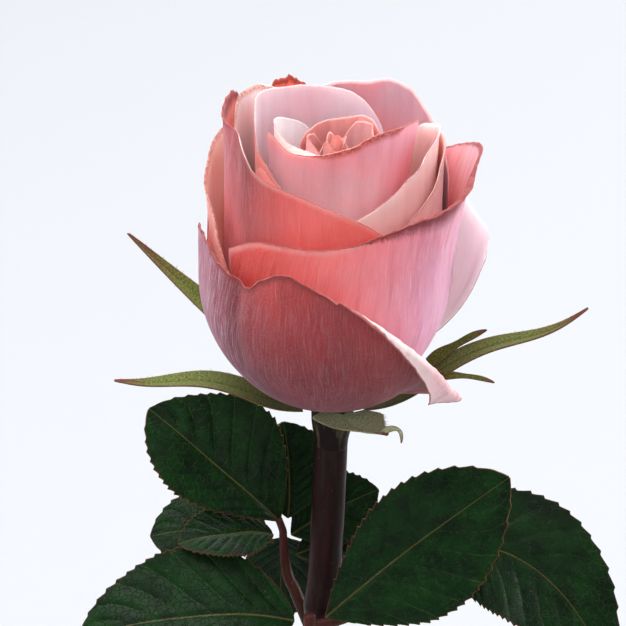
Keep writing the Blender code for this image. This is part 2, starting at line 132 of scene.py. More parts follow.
def shell_faces(columns, rows):
    size = columns * rows
    faces = []
    for i in range(columns - 1):
        for j in range(rows - 1):
            a, b = i * rows + j, (i + 1) * rows + j
            faces.append((a, b, b + 1, a + 1))
            faces.append((a + size + 1, b + size + 1, b + size, a + size))
    edge = [i * rows for i in range(columns)]
    edge += [(columns - 1) * rows + j for j in range(1, rows)]
    edge += [i * rows + rows - 1 for i in range(columns - 2, -1, -1)]
    edge += [j for j in range(rows - 2, 0, -1)]
    for k, a in enumerate(edge):
        b = edge[(k + 1) % len(edge)]
        faces.append((a, a + size, b + size, b))
    return faces


def add_piece(name, node, points, faces, material, at=BLOOM_BASE):
    """Makes the piece in metres, lets it ride with the rose and puts it in its solid's place."""
    mesh = bpy.data.meshes.new(name)
    mesh.from_pydata(((np.asarray(points) + at) * MM).tolist(), [], faces)
    mesh.update()
    mesh.polygons.foreach_set("use_smooth", [True] * len(mesh.polygons))
    piece = bpy.data.objects.new(name, mesh)
    bpy.context.scene.collection.objects.link(piece)
    mesh.materials.append(material)
    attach(piece, "root")
    if node:
        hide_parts(node)
    return piece


def store(piece, name, values):
    """Keeps a number, a place or a colour at each point, for the material to read."""
    values = np.asarray(values, np.float32).reshape(len(piece.data.vertices), -1)
    kinds = {1: ("FLOAT", "value"), 3: ("FLOAT_VECTOR", "vector"), 4: ("FLOAT_COLOR", "color")}
    kind, key = kinds[values.shape[1]]
    layer = piece.data.attributes.new(name, kind, "POINT")
    layer.data.foreach_set(key, values.reshape(-1))


def add_skins(name, node, grid, half, layers, material):
    """half is how far each skin stands from the surface; layers is all that the material reads."""
    normals = surface_normals(grid)
    skins = np.concatenate([(grid + normals * half).reshape(-1, 3), (grid - normals * half).reshape(-1, 3)])
    piece = add_piece(name, node, skins, shell_faces(*grid.shape[:2]), material)
    for label, values in layers.items():
        store(piece, label, values)
    return piece


print("shell of a 3 by 3 surface has", len(shell_faces(3, 3)), "faces")

# %% [markdown]
# ## The petals' measurements
# Every petal is a slice of a bowl.  `wall` is how far from the axis it stands once it is upright, `rim` is the
# height of its edge, and `flare` is how far its top bends outwards, each as (azimuth, mm) pairs.  `foot` is how
# narrow the petal starts, as a share of its full width, and `spread` is where along it that width is reached.
# The lists go from the outermost petal inwards.  Several narrow petals could be copied round a circle, but a
# rose that opened by itself has no two alike, so each keeps its own line.  The back petal's edge rises to a
# small rounded lobe, because the real one has weathered there.

# %% Outer petals
PETALS = {}
PETALS["petal_outer_front"] = {
    "wall": ((-102, 26.6), (-60, 26.6), (-20, 26.6), (30, 26.2), (74, 25.0)),
    "rim": ((-102, 27), (-82, 39), (-62, 37), (-50, 34.5), (-41, 33), (-32, 36), (-22, 38.2),
            (-12, 36), (2, 32.5), (14, 28.6), (26, 23.6), (44, 15.8), (60, 9.6), (74, 4.6)),
    "flare": ((-102, 0.5), (-60, 0.2), (-20, 0.3), (20, 1.0), (50, 3.2), (62, 5.5), (74, 11.5)),
}
PETALS["petal_outer_left"] = {
    "wall": ((-172, 25.4), (-120, 24.8), (-90, 24.4), (-65, 24.5), (-47, 24.9)),
    "rim": ((-172, 36), (-145, 50), (-122, 52.5), (-102, 49), (-86, 46), (-74, 43), (-64, 37.5),
            (-47, 29)),
    "flare": ((-172, 0.6), (-120, 1.0), (-86, 1.4), (-47, 0)),
}
PETALS["petal_outer_right"] = {
    "wall": ((86, 25.6), (110, 26.2), (140, 26.7), (188, 27.4)),
    "rim": ((86, 31), (92, 34), (98, 35), (112, 36.5), (124, 39.5), (150, 41), (176, 35), (188, 27)),
    "flare": ((86, 3.0), (98, 2.8), (124, 1.6), (188, 0.4)),
    "foot": 0.2,
    "spread": 1.0,
}
PETALS["petal_outer_back"] = {
    "wall": ((-216, 24.8), (-190, 25.6), (-170, 26.7), (-140, 27.2), (-112, 27.6)),
    "rim": ((-216, 38), (-195, 47), (-176, 51), (-167, 54.4), (-164, 56.4), (-160, 57.6), (-156, 57.8),
            (-152.5, 57.4), (-149, 54.4), (-138, 48), (-112, 36)),
    "flare": ((-216, 0), (-157, 0.6), (-112, 0)),
}
PETALS["petal_wrap_right"] = {
    "wall": ((-62, 23.4), (-20, 23.6), (10, 23.5), (45, 22.6), (80, 21.9), (128, 22.0)),
    "rim": ((-62, 37.5), (-40, 41.4), (-14, 42), (1, 43), (16, 44.8), (32, 46.5), (45, 47.8),
            (54, 49), (62, 50.6), (68, 51.6), (76, 53.4), (88, 54), (106, 51.5), (128, 47)),
    "flare": ((-62, 0.3), (0, 0.4), (32, 1.8), (54, 3.6), (75, 4.6), (95, 3.6), (128, 2.0)),
}
print("outer petals:", len(PETALS))

# %% Middle petals
PETALS["petal_second_left"] = {
    "wall": ((-128, 22.2), (-95, 21.8), (-60, 21.4), (-30, 20.8), (10, 20.6), (42, 20.6)),
    "rim": ((-128, 56), (-110, 62), (-92, 60.4), (-72, 60), (-60, 58), (-49, 54), (-33, 52.2),
            (-13, 50), (7, 46.8), (20, 44), (42, 36)),
    "flare": ((-128, 0.6), (-100, 0.9), (-60, 0.4), (-30, 0), (42, 0)),
}
PETALS["petal_second_right"] = {
    "wall": ((24, 19.5), (60, 19.6), (90, 19.7), (148, 20.2)),
    "rim": ((24, 38), (41, 44.6), (48, 45.8), (57, 47.8), (66, 50.4), (74, 53), (90, 55),
            (115, 53.4), (148, 46)),
}
PETALS["petal_second_back"] = {
    "wall": ((92, 20.8), (125, 21.0), (150, 21.3), (180, 22.0), (212, 22.8)),
    "rim": ((92, 44), (108, 49), (122, 53.6), (134, 56.8), (143, 58.8), (154, 59.6), (168, 58.2),
            (180, 58.0), (192, 56.6), (212, 49)),
    "flare": ((92, 0), (122, 0.1), (146, 0.5), (212, 0)),
}
PETALS["petal_third_left"] = {
    "wall": ((-174, 20.2), (-130, 20.2), (-90, 19.9), (-60, 19.6), (-38, 19.2)),
    "rim": ((-174, 48), (-160, 55), (-148, 58), (-140, 59.4), (-126, 61.2), (-112, 61.4),
            (-98, 59.4), (-80, 55), (-60, 46), (-38, 37)),
    "flare": ((-174, 0), (-126, 0.8), (-98, 0.4), (-38, 0)),
}
PETALS["petal_third_right"] = {
    "wall": ((-28, 18.6), (10, 18.4), (40, 18.1), (74, 17.9), (136, 18.6)),
    "rim": ((-28, 36), (-8, 42.5), (8, 46), (18, 47.8), (31, 50), (42, 52), (52, 53.6), (57, 55.6),
            (65, 57), (75, 58.4), (90, 57.6), (108, 55.6), (124, 54), (136, 50)),
    "flare": ((-28, 0), (31, 0.2), (60, 0.6), (80, 0.7), (110, 0.2), (136, 0)),
}
PETALS["petal_third_front"] = {
    "wall": ((-68, 17.7), (-30, 17.2), (10, 16.9), (46, 16.6)),
    "rim": ((-68, 52), (-60, 53), (-30, 48), (0, 44), (46, 37)),
}
PETALS["petal_arch_back"] = {
    "wall": ((-213, 16.6), (-170, 16.6), (-120, 16.4), (-90, 16.0), (-60, 15.6), (-40, 15.7)),
    "rim": ((-213, 48), (-207, 52.6), (-200, 55.4), (-193, 57.2), (-184, 58.6), (-171, 59.4), (-155, 60.2),
            (-140, 60.6), (-122, 61.3), (-108, 60.6), (-90, 57.2), (-71, 54.6), (-57, 52.4),
            (-40, 49)),
    "flare": ((-213, 0), (-170, 0.7), (-122, 1.1), (-90, 0.6), (-57, 0.7), (-40, 0.5)),
}
print("outer and middle petals:", len(PETALS))

# %% Cup petals and the innermost ones
PETALS["petal_cup_front"] = {
    "wall": ((-80, 13.5), (-40, 13.6), (0, 13.2), (40, 12.2), (90, 11.6), (146, 13.0)),
    "rim": ((-80, 57), (-74, 58.4), (-53, 57.8), (-41, 57.2), (-28, 57.2), (-15, 57.6), (-2, 58.3),
            (9, 59.2), (20, 60.9), (30, 61.7), (41, 61.4), (54, 61.1), (70, 60.7), (84, 59.7),
            (105, 55.4), (146, 51.5)),
    "flare": ((-80, 1.1), (-40, 0.9), (0, 1.2), (40, 1.8), (84, 2.6), (105, 2.0), (146, 0.6)),
}
PETALS["petal_cup_left"] = {
    "wall": ((-160, 12.1), (-120, 12.0), (-90, 11.9), (-50, 11.8), (-14, 11.4)),
    "rim": ((-160, 49), (-148, 53.6), (-130, 56), (-98, 58.4), (-72, 57.6), (-50, 57), (-32, 56.6),
            (-14, 55)),
    "flare": ((-160, 0.2), (-98, 1.0), (-72, 0.5), (-50, 0.3), (-14, 0)),
}
PETALS["petal_cup_right"] = {
    "wall": ((66, 9.7), (100, 10.0), (140, 10.6), (186, 10.8)),
    "rim": ((66, 47), (90, 50), (130, 51.8), (160, 50.5), (186, 46)),
}
PETALS["petal_inner_front"] = {
    "wall": ((-46, 9.7), (0, 9.9), (40, 9.5), (74, 9.0)),
    "rim": ((-46, 50), (-20, 54), (10, 55), (40, 54), (74, 49)),
}
PETALS["petal_inner_back"] = {
    "wall": ((-262, 8.2), (-210, 8.1), (-160, 8.2), (-120, 8.1), (-84, 8.0)),
    "rim": ((-262, 52), (-248, 54.6), (-230, 57), (-214, 57.3), (-190, 56.5), (-160, 56),
            (-130, 55.2), (-106, 53.8), (-84, 51)),
    "flare": ((-262, -0.6), (-214, -0.2), (-160, 0), (-84, -0.4)),
}
PETALS["petal_inner_right"] = {
    "wall": ((60, 6.4), (100, 6.6), (140, 6.8), (178, 6.8)),
    "rim": ((60, 50), (90, 54.6), (120, 57), (150, 56.6), (178, 53)),
    "flare": ((60, -0.4), (178, -0.4)),
}
PETALS["petal_inner_left"] = {
    "wall": ((-150, 6.9), (-110, 6.9), (-70, 6.7), (-30, 6.4), (-4, 6.3)),
    "rim": ((-150, 51), (-120, 55), (-88, 55.6), (-50, 54), (-4, 49)),
    "flare": ((-150, -0.7), (-88, -0.5), (-4, -0.9)),
}
print("petals with an edge list:", len(PETALS))

# %% [markdown]
# ## The bowl every petal is cut from
# Near its foot, its claw, a petal is narrow and almost level, then it swings up and stands.  The rise follows
# one bowl curve for all petals, only wider or narrower, which is why they nest without crossing.

# %% Petal surface
BELLY_HEIGHT = 28.0        # mm above the foot, where a petal is upright
BELLY_POWER = 0.6          # below 1 makes the bowl fuller
CLAW_RADIUS = (1.0, 5.5)   # mm from the axis at the foot, for the innermost and the outermost petal
CLAW_HEIGHT = (13.0, 1.0)  # mm above the foot of the bloom, for the same two
CLAW_WIDTH = 0.34          # share of a petal's width at its foot
CLAW_SPREAD = 0.55         # share of its length where it reaches full width
OUTER_WALL = 27.0          # mm from the axis, the outermost petal
ROW_POWER = 1.5            # above 1 sets the rows closer near the foot


def bowl(rise):
    u = min(1.0, max(0.0, rise))
    return (1 - (1 - u) ** 2) ** BELLY_POWER


def claw(wall):
    share = min(1.0, wall / OUTER_WALL)
    radius = CLAW_RADIUS[0] + (CLAW_RADIUS[1] - CLAW_RADIUS[0]) * share
    height = CLAW_HEIGHT[0] + (CLAW_HEIGHT[1] - CLAW_HEIGHT[0]) * share
    return radius, height


def petal_column(petal, azimuth, shares, tear=0.0):
    first, last = petal["rim"][0][0], petal["rim"][-1][0]
    middle = (first + last) / 2
    mean_wall = sum(w for _, w in petal["wall"]) / len(petal["wall"])
    foot_radius, foot_height = claw(mean_wall)
    rim = along(petal["rim"], azimuth) + tear
    wall = along(petal["wall"], azimuth)
    flare = along(petal.get("flare", ((0, 0),)), azimuth)
    start = min(BELLY_HEIGHT + 2, 0.45 * rim)
    line = []
    for share in shares:
        z = foot_height + (rim - foot_height) * share ** ROW_POWER
        radius = foot_radius + (wall - foot_radius) * bowl((z - foot_height) / (BELLY_HEIGHT - foot_height))
        if z > start:
            radius += flare * ((z - start) / max(1.0, rim - start)) ** 2
        narrow = petal.get("foot", CLAW_WIDTH)
        width = narrow + (1 - narrow) * ease(0.0, petal.get("spread", CLAW_SPREAD), share)
        at = outward(middle + (azimuth - middle) * width) * radius
        line.append([at[0] + BLOOM_LEAN * z, at[1], z])
    return line


def rolled(point, up, out, length, radius, turn):
    """A point on an edge that rolls outwards from `up` towards `out` round a small radius."""
    angle = min(length / radius, turn)
    rest = length - angle * radius
    at = point + up * (radius * math.sin(angle)) + out * (radius * (1 - math.cos(angle)))
    return at + (up * math.cos(angle) + out * math.sin(angle)) * rest


first_petal = next(iter(PETALS.values()))
print("front petal foot:", [round(v, 1) for v in petal_column(first_petal, 0, [0])[0]])

# %% [markdown]
# ## Soft ripples and rolled edges
# A petal is never a perfect bowl.  Low, slow ripples run over it, and the last millimetre of its edge rolls
# outwards and catches the light as a pale line.  Noise textures could move the points, but a few sine waves
# with a phase of their own per petal are smooth, repeatable and never push petals into each other.

# %% Folds and torn edges
# FOLDS: (azimuth, drift in degrees per mm of height, width in degrees, depth in mm), strongest near the rim
FOLDS = {
    "petal_outer_front": ((-45, 0.25, 4.5, -1.1), (-58, 0.3, 9.0, 0.6), (-24, 0.0, 12.0, 0.6),
                          (14, -0.8, 12.0, 0.5)),
    "petal_wrap_right": ((68, 0.0, 5.0, -0.6), (50, 0.35, 9.0, 0.5), (28, 0.2, 9.0, -0.5),
                         (-34, 0.0, 16.0, -0.7), (0, 0.2, 10.0, 0.4), (88, 0.0, 7.0, 0.5)),
    "petal_second_left": ((-72, 0.2, 7.0, -0.6), (-88, 0.0, 8.0, 0.5), (-44, 0.2, 10.0, 0.4),
                          (-22, 0.3, 9.0, -0.35)),
    "petal_outer_right": ((112, 0.1, 9.0, -0.5), (135, 0.0, 12.0, 0.5), (95, 0.0, 6.0, 0.4)),
    "petal_outer_left": ((-110, 0.0, 12.0, 0.5), (-75, 0.1, 8.0, -0.3)),
    "petal_cup_front": ((-6, 0.3, 14.0, -0.7), (30, 0.0, 11.0, 0.7), (-42, 0.0, 11.0, 0.5),
                        (66, 0.0, 9.0, -0.5)),
    "petal_arch_back": ((-120, 0.0, 14.0, 0.4), (-165, 0.1, 14.0, -0.4), (-75, 0.0, 10.0, 0.3)),
    "petal_third_right": ((44, 0.0, 8.0, -0.25), (70, 0.0, 8.0, 0.25)),
    "petal_second_back": ((150, 0.0, 9.0, -0.35), (172, 0.0, 9.0, 0.35)),
}
FOLD_LEVEL = 35  # mm, the height at which a fold stands at its own azimuth
# CURLS: (azimuth, width in mm) of edge that rolls over outwards
CURLS = {
    "petal_outer_front": ((-102, 0), (-20, 0), (-8, 1.0), (8, 2.4), (25, 4.6), (36, 6.6), (44, 8.0), (54, 9.0),
                          (62, 7.0), (74, 1.4)),
    "petal_wrap_right": ((-62, 0), (10, 0.7), (32, 1.3), (60, 1.8), (70, 1.2), (80, 0), (128, 0)),
}
# RAGGED: (azimuth, depth in mm) of small tears in the rim
RAGGED = {
    "petal_outer_front": ((-102, 0.2), (-80, 0.3), (-66, 0.3), (-45, 0.12), (-20, 0.08), (74, 0.06)),
    "petal_outer_back": ((-216, 0.05), (-168, 0.12), (-160, 0.35), (-152, 0.25), (-140, 0.1), (-112, 0.05)),
    "petal_second_left": ((-128, 0.1), (-112, 0.2), (-96, 0.26), (-84, 0.2), (-70, 0.05), (42, 0.03)),
    "petal_wrap_right": ((-62, 0.04), (20, 0.05), (36, 0.1), (74, 0.14), (90, 0.06), (128, 0.05)),
}


def torn(azimuth):
    saw = math.sin(0.9 * azimuth) + 0.6 * math.sin(1.9 * azimuth + 1) + 0.4 * math.sin(3.7 * azimuth + 2)
    return saw - 0.5


def folded(name, azimuth, height, share):
    push = 0.0
    for centre, drift, width, depth in FOLDS.get(name, ()):
        away = (azimuth - centre - drift * (height - FOLD_LEVEL)) / width
        push += depth * math.exp(-away * away)
    return push * share ** 2


print("petals with folds:", len(FOLDS), "and with torn edges:", len(RAGGED))

# %% A full petal with ripples and a rolled edge
COLUMNS_PER_DEGREE = 1.3
PETAL_ROWS, ROLL_ROWS = 54, 12
RIPPLE_DEPTH = 0.24         # mm at the rim
ROLL_RADIUS = (0.75, 1.15)  # mm, for a fine edge and for a wide flap
WIDE_ROLL = 1.6             # mm of rolled edge, from which the wide radius is used
ROLL_TURN = 2.75            # radians that an edge turns over, at most


def ripple(seed, a, h):
    return (
        math.sin(0.055 * a + 1.7 * seed) * math.cos(0.11 * h + seed)
        + 0.55 * math.sin(0.13 * a - 0.09 * h + 2.3 * seed)
        + 0.3 * math.sin(0.31 * a + 0.05 * h + 0.7 * seed)
    )


def rolled_edge(line, up, out, steps, length, radius, turn):
    """A line of points, with an edge of the given length that rolls outwards from its last one."""
    over = unit(out - up * float(np.dot(out, up)))
    edge = [rolled(line[-1], up, over, length * k / steps, radius, turn) for k in range(1, steps + 1)]
    return np.concatenate([line, edge])


def petal_surface(name, petal, seed, edge_roll=0.8):
    first, last = petal["rim"][0][0], petal["rim"][-1][0]
    columns = max(64, int((last - first) * COLUMNS_PER_DEGREE))
    shares = [j / PETAL_ROWS for j in range(PETAL_ROWS + 1)]
    grid, azimuths = [], []
    for i in range(columns + 1):
        azimuth = first + (last - first) * i / columns
        tear = along(RAGGED.get(name, ((0, 0.03),)), azimuth) * torn(azimuth)
        line = np.array(petal_column(petal, azimuth, shares, tear))
        out = outward(azimuth)
        for j, share in enumerate(shares):
            height = line[j][2]
            push = RIPPLE_DEPTH * share ** 2 * ripple(seed, azimuth, height)
            line[j] += out * (push + folded(name, azimuth, height, share))
        side = min(1.0, 6.0 * min(i, columns - i) / columns)
        length = max(edge_roll * (0.35 + 0.65 * side), along(CURLS.get(name, ((0, 0),)), azimuth))
        radius = ROLL_RADIUS[length > WIDE_ROLL]
        grid.append(rolled_edge(line, unit(line[-1] - line[-3]), out, ROLL_ROWS, length, radius, ROLL_TURN))
        azimuths.append(azimuth)
    return np.array(grid), np.array(azimuths)


test_grid, _ = petal_surface("petal_outer_front", first_petal, 1)
print("front petal grid:", test_grid.shape)

# %% [markdown]
# ## How far every point is from the edge
# Pale lines, partly a painted highlight of the rolled rim, burns and the thinning of a petal all follow its
# free edge.  A painted mask could mark them, but the distance can be counted along the surface itself, and then
# it is right for any shape.

# %% Distance to the free edge
def edge_distance(grid):
    """Distance in mm from each point to the petal's free edge, counted along the surface."""
    up_steps = np.linalg.norm(np.diff(grid, axis=1), axis=2)
    to_rim = np.concatenate([np.cumsum(up_steps[:, ::-1], axis=1)[:, ::-1], np.zeros((len(grid), 1))], axis=1)
    side_steps = np.linalg.norm(np.diff(grid, axis=0), axis=2)
    from_left = np.concatenate([np.zeros((1, grid.shape[1])), np.cumsum(side_steps, axis=0)])
    to_side = np.minimum(from_left, from_left[-1:] - from_left)
    return np.minimum(to_rim, to_side)


print("farthest point from the edge:", round(float(edge_distance(test_grid).max()), 1), "mm")

# %% [markdown]
# ## The pointed bud in the middle
# The last six petals are rolled round one another and come to a point.  Each is a narrow strip that swells,
# then closes, turned by the golden angle from the one before.  Real buds grow this way, so the spiral looks
# right from above without placing anything by hand.

# %% Innermost rolled petals
BUD_PETALS = 6
BUD_WALL = (1.15, 0.64)  # mm from the axis for the innermost petal, and what each one outside it adds
BUD_AXIS = (-1.2, 0.3)   # mm that the bud leans from the bloom's axis
BUD_TURN = 137.5         # degrees from one petal to the next, the golden angle
BUD_TOP = 56.6           # mm above the foot of the bloom
BUD_STEP = 0.5           # mm that each petal is lower than the one inside it
BUD_HALF = 104.0         # degrees that a petal reaches to each side
BUD_COLUMNS, BUD_ROWS, BUD_ROLL_ROWS = 72, 44, 5
BUD_ROLL = (0.45, 0.4, 2.2)  # width in mm, radius in mm and turn in radians of the rolled edge


def bud_surface(index):
    outside = BUD_PETALS - 1 - index
    wall = BUD_WALL[0] + BUD_WALL[1] * outside
    top = BUD_TOP - BUD_STEP * outside
    middle = 40 + BUD_TURN * index
    foot_radius, foot_height = claw(wall)
    foot_height += 1.0
    grid = []
    for i in range(BUD_COLUMNS + 1):
        t = -1 + 2 * i / BUD_COLUMNS
        line = []
        for j in range(BUD_ROWS + 1):
            share = j / BUD_ROWS
            rim = top - 5.0 * abs(t) ** 1.6
            z = foot_height + (rim - foot_height) * share ** 1.3
            swell = math.sin(math.pi * min(1.0, (z - foot_height) / (BUD_TOP + 3.0 - foot_height)) ** 0.8)
            radius = foot_radius + (wall + 0.35 * t - foot_radius) * max(0.12, swell) ** 0.55
            width = CLAW_WIDTH + (1 - CLAW_WIDTH) * ease(0.0, 0.5, share)
            at = outward(middle + BUD_HALF * t * width) * radius
            shift = ease(8.0, 40.0, z)
            line.append([at[0] + BUD_AXIS[0] * shift + BLOOM_LEAN * z, at[1] + BUD_AXIS[1] * shift, z])
        line = np.array(line)
        out = outward(middle + BUD_HALF * t)
        grid.append(rolled_edge(line, unit(line[-1] - line[-2]), out, BUD_ROLL_ROWS, *BUD_ROLL))
    return np.array(grid), np.linspace(-BUD_HALF, BUD_HALF, BUD_COLUMNS + 1)


print("bud point is", round(float(bud_surface(5)[0][:, :, 2].max()), 1), "mm above the foot of the bloom")

# %% [markdown]
# ## Colour helpers
# Petal colours are easiest to judge as the everyday 0 to 255 values that a paint chart gives.  A shader wants
# linear light instead, so one helper turns the first into the second.

# %% Paint-chart colour to linear light
def paint(red, green, blue):
    linear = []
    for value in (red, green, blue):
        v = value / 255
        linear.append(v / 12.92 if v <= 0.04045 else ((v + 0.055) / 1.055) ** 2.4)
    return np.array(linear + [1.0])


SALMON = paint(250, 164, 160)
PEACH = paint(252, 204, 198)
CORAL = paint(240, 106, 92)
BLUSH = paint(250, 200, 204)
LILAC = paint(226, 166, 192)
MAUVE = paint(150, 84, 108)
ROSE = paint(190, 96, 106)
VEIN_LIGHT = paint(250, 214, 216)
# silvery streaks: partly the dried outer skin's own colour, partly painted sheen
SILVER_AND_SHEEN = paint(236, 214, 226)
# paler petal margin, partly a painted highlight where the rolled edge catches the light
RIM_HIGHLIGHT = paint(246, 208, 206)
BURNT_RED = paint(130, 50, 54)
BROWN = paint(180, 118, 108)
print("salmon in linear light:", SALMON.round(3))

# %% [markdown]
# ## A petal's living surface
# Close up a petal is not one colour.  Fine veins fan out from its foot, silvery streaks sit where the outer
# skin dried and carry painted sheen too, the free edge is a paler line that is partly a painted highlight of
# the rolled rim, and a weathered edge is burnt brown.  Light also goes through the tissue and comes out redder.
# The base tint is stored at the points, and noise that is stretched along the petal draws veins over it.  A
# painted picture could do that too, but noise stays sharp at any distance.

# %% Small helpers for node trees
class Finish:
    """A material in the making: its node tree, its shader, and short names for the nodes used here."""

    def __init__(self, name):
        self.material = bpy.data.materials.new(name)
        self.material.use_nodes = True
        self.tree = self.material.node_tree
        self.shader = self.tree.nodes["Principled BSDF"]

    def feed(self, socket, value):
        """Links a socket, or sets a plain value on it."""
        if isinstance(value, bpy.types.NodeSocket):
            self.tree.links.new(value, socket)
        else:
            socket.default_value = tuple(value) if isinstance(value, np.ndarray) else value

    def shade(self, socket, value):
        self.feed(self.shader.inputs[socket], value)

    def read(self, name, part="Fac"):
        attribute = self.tree.nodes.new("ShaderNodeAttribute")
        attribute.attribute_name = name
        return attribute.outputs[part]

    def maths(self, how, a, b=0.0, clamp=False):
        node = self.tree.nodes.new("ShaderNodeMath")
        node.operation = how
        node.use_clamp = clamp
        self.feed(node.inputs[0], a)
        self.feed(node.inputs[1], b)
        return node.outputs[0]

    def plus(self, a, b, clamp=False):
        return self.maths("ADD", a, b, clamp)

    def times(self, a, b):
        return self.maths("MULTIPLY", a, b)

    def remap(self, value, low, high, to_low=0.0, to_high=1.0):
        """A soft step from to_low to to_high while the value goes from low to high."""
        fit = self.tree.nodes.new("ShaderNodeMapRange")
        fit.interpolation_type = "SMOOTHSTEP"
        self.feed(fit.inputs["Value"], value)
        for socket, number in (("From Min", low), ("From Max", high), ("To Min", to_low), ("To Max", to_high)):
            fit.inputs[socket].default_value = number
        return fit.outputs["Result"]

    def stretch(self, vector, sizes):
        """Scales a stored place, so that 1 becomes one feature of the size given in each direction."""
        mapping = self.tree.nodes.new("ShaderNodeMapping")
        self.feed(mapping.inputs["Vector"], vector)
        mapping.inputs["Scale"].default_value = [1 / s for s in sizes]
        return mapping.outputs["Vector"]

    def noise(self, vector, sizes, detail=4.0, rough=0.55, warp=0.0):
        texture = self.tree.nodes.new("ShaderNodeTexNoise")
        self.feed(texture.inputs["Vector"], self.stretch(vector, sizes))
        for socket, number in (("Scale", 1.0), ("Detail", detail), ("Roughness", rough), ("Distortion", warp)):
            texture.inputs[socket].default_value = number
        return texture.outputs["Fac"]

    def blend(self, share, first, second, how="MIX"):
        mix = self.tree.nodes.new("ShaderNodeMix")
        mix.data_type = "RGBA"
        mix.blend_type = how
        self.feed(mix.inputs["Factor"], share)
        self.feed(mix.inputs["A"], first)
        self.feed(mix.inputs["B"], second)
        return mix.outputs["Result"]

    def bump(self, height, depth_mm, strength=1.0):
        node = self.tree.nodes.new("ShaderNodeBump")
        node.inputs["Distance"].default_value = depth_mm * MM
        node.inputs["Strength"].default_value = strength
        self.feed(node.inputs["Height"], height)
        self.shade("Normal", node.outputs["Normal"])


print("helpers ready, materials so far:", len(bpy.data.materials))

# %% Petal material
# painted highlight: how strongly the paler rim line shows along a free edge
RIM_HIGHLIGHT_SHOWS = 0.35    # how strongly the pale line shows along a free edge
BURN_SHOWS = 0.92   # how strongly a burnt edge shows


def petal_material(name, vein, glow, relief_depth, depth_mm=0.9, reach=(1.0, 0.55, 0.45)):
    m = Finish(name)
    place = m.read("place", "Vector")
    tint = m.read("tint", "Color")
    edge = m.read("edge")
    silver = m.read("silver")
    wander = m.noise(place, (6.0, 9.0, 9.0), 2, 0.5)
    drift = m.tree.nodes.new("ShaderNodeCombineXYZ")
    m.feed(drift.inputs[0], m.times(wander, 1.6))
    bent = m.tree.nodes.new("ShaderNodeVectorMath")
    m.feed(bent.inputs[0], place)
    m.feed(bent.inputs[1], drift.outputs[0])
    place = bent.outputs[0]
    broad = m.noise(place, (1.9, 17.0, 4.0), 3, 0.5)
    fine = m.noise(place, (0.2, 6.0, 1.0), 4, 0.55, 0.5)
    cells = m.noise(place, (0.5, 0.7, 1.0), 3, 0.6)
    cloud = m.noise(place, (8.0, 11.0, 9.0), 3, 0.55)
    net = m.noise(place, (1.1, 2.4, 1.0), 5, 0.6, 2.4)
    colour = m.blend(m.remap(cloud, 0.38, 0.66, 0.0, 0.22), tint, CORAL, "SOFT_LIGHT")
    colour = m.blend(m.remap(broad, 0.45, 0.68, 0.0, 0.26 * vein), colour, ROSE, "MULTIPLY")
    lines = m.maths("ABSOLUTE", m.maths("SUBTRACT", net, 0.5))
    lines = m.remap(lines, 0.0, 0.035, 1.0, 0.0)
    colour = m.blend(m.times(lines, 0.07 * vein), colour, VEIN_LIGHT)
    threads = m.remap(fine, 0.42, 0.80)
    colour = m.blend(m.times(threads, 0.12 * vein), colour, VEIN_LIGHT)
    # painted sheen: silvery streaks, partly the dried skin's own colour
    streaks = m.times(threads, m.times(silver, m.remap(cloud, 0.4, 0.6, 0.45, 1.0)))
    colour = m.blend(m.plus(streaks, 0.0, clamp=True), colour, SILVER_AND_SHEEN)
    ragged = m.times(m.maths("SUBTRACT", cells, 0.5), 1.7)
    ragged = m.times(ragged, m.maths("MINIMUM", m.read("burn"), 1.0))
    near_edge = m.plus(edge, ragged)
    # painted highlight along the free edge, partly the paler margin itself
    line = m.remap(m.maths("DIVIDE", edge, m.read("pale")), 0.3, 1.8, 1.0, 0.0)
    colour = m.blend(m.times(line, RIM_HIGHLIGHT_SHOWS), colour, RIM_HIGHLIGHT)
    scorch = m.remap(m.maths("DIVIDE", near_edge, m.read("burn")), 0.4, 1.5, 1.0, 0.0)
    burnt = m.blend(m.remap(cells, 0.4, 0.6), m.read("scorch", "Color"), BURNT_RED)
    colour = m.blend(m.times(scorch, BURN_SHOWS), colour, burnt)
    m.shade("Base Color", colour)
    soft = m.remap(fine, 0.3, 0.75, 0.66, 0.5)
    m.shade("Roughness", m.plus(soft, m.times(scorch, 0.2)))
    m.shade("Specular IOR Level", 0.3)
    m.shade("Subsurface Weight", glow)
    m.shade("Subsurface Radius", reach)
    m.shade("Subsurface Scale", depth_mm * MM)
    m.shade("Sheen Weight", 0.12)
    m.shade("Sheen Roughness", 0.4)
    m.shade("Sheen Tint", (1.0, 0.86, 0.9, 1.0))
    relief = m.plus(m.times(fine, 0.8), m.times(lines, -0.5))
    relief = m.plus(relief, m.times(cells, 0.4))
    m.bump(m.plus(relief, m.times(broad, 1.2)), relief_depth, 0.7)
    return m.material


outer_finish = petal_material("petal_outer_skin", 0.9, 0.75, 0.12)
inner_finish = petal_material("petal_inner_skin", 0.4, 0.9, 0.07)
thin_finish = petal_material("petal_thin_skin", 0.4, 1.0, 0.07, 2.0, (1.0, 0.8, 0.78))
print("petal finishes:", outer_finish.name, inner_finish.name, thin_finish.name)

# %% [markdown]
# ## One finish sheet for all petals
# Each petal's looks are written down as a maker's sheet: a colour at its foot, middle and top for each face,
# then how silvery, pale or burnt its edge is as one goes round; the silver is partly painted sheen and the pale
# edge partly a painted highlight.  The outer petals have seen weather, so their outsides are mauve and streaky,
# while the petals inside stay salmon and peach.  Some sheet colours also hold painted shade, darker where a
# petal sits in shadow, and painted light, paler where light glows through a petal or into a crevice.

# %% Finish sheet
def sheet(outside, inside, **more):
    """outside and inside: (azimuth, foot, middle and top colour) once, or at several azimuths."""
    return {"outside": outside, "inside": inside, **more}


def all_round(*colours):
    """The same foot, middle and top colour at every azimuth."""
    return ((0, *colours),)
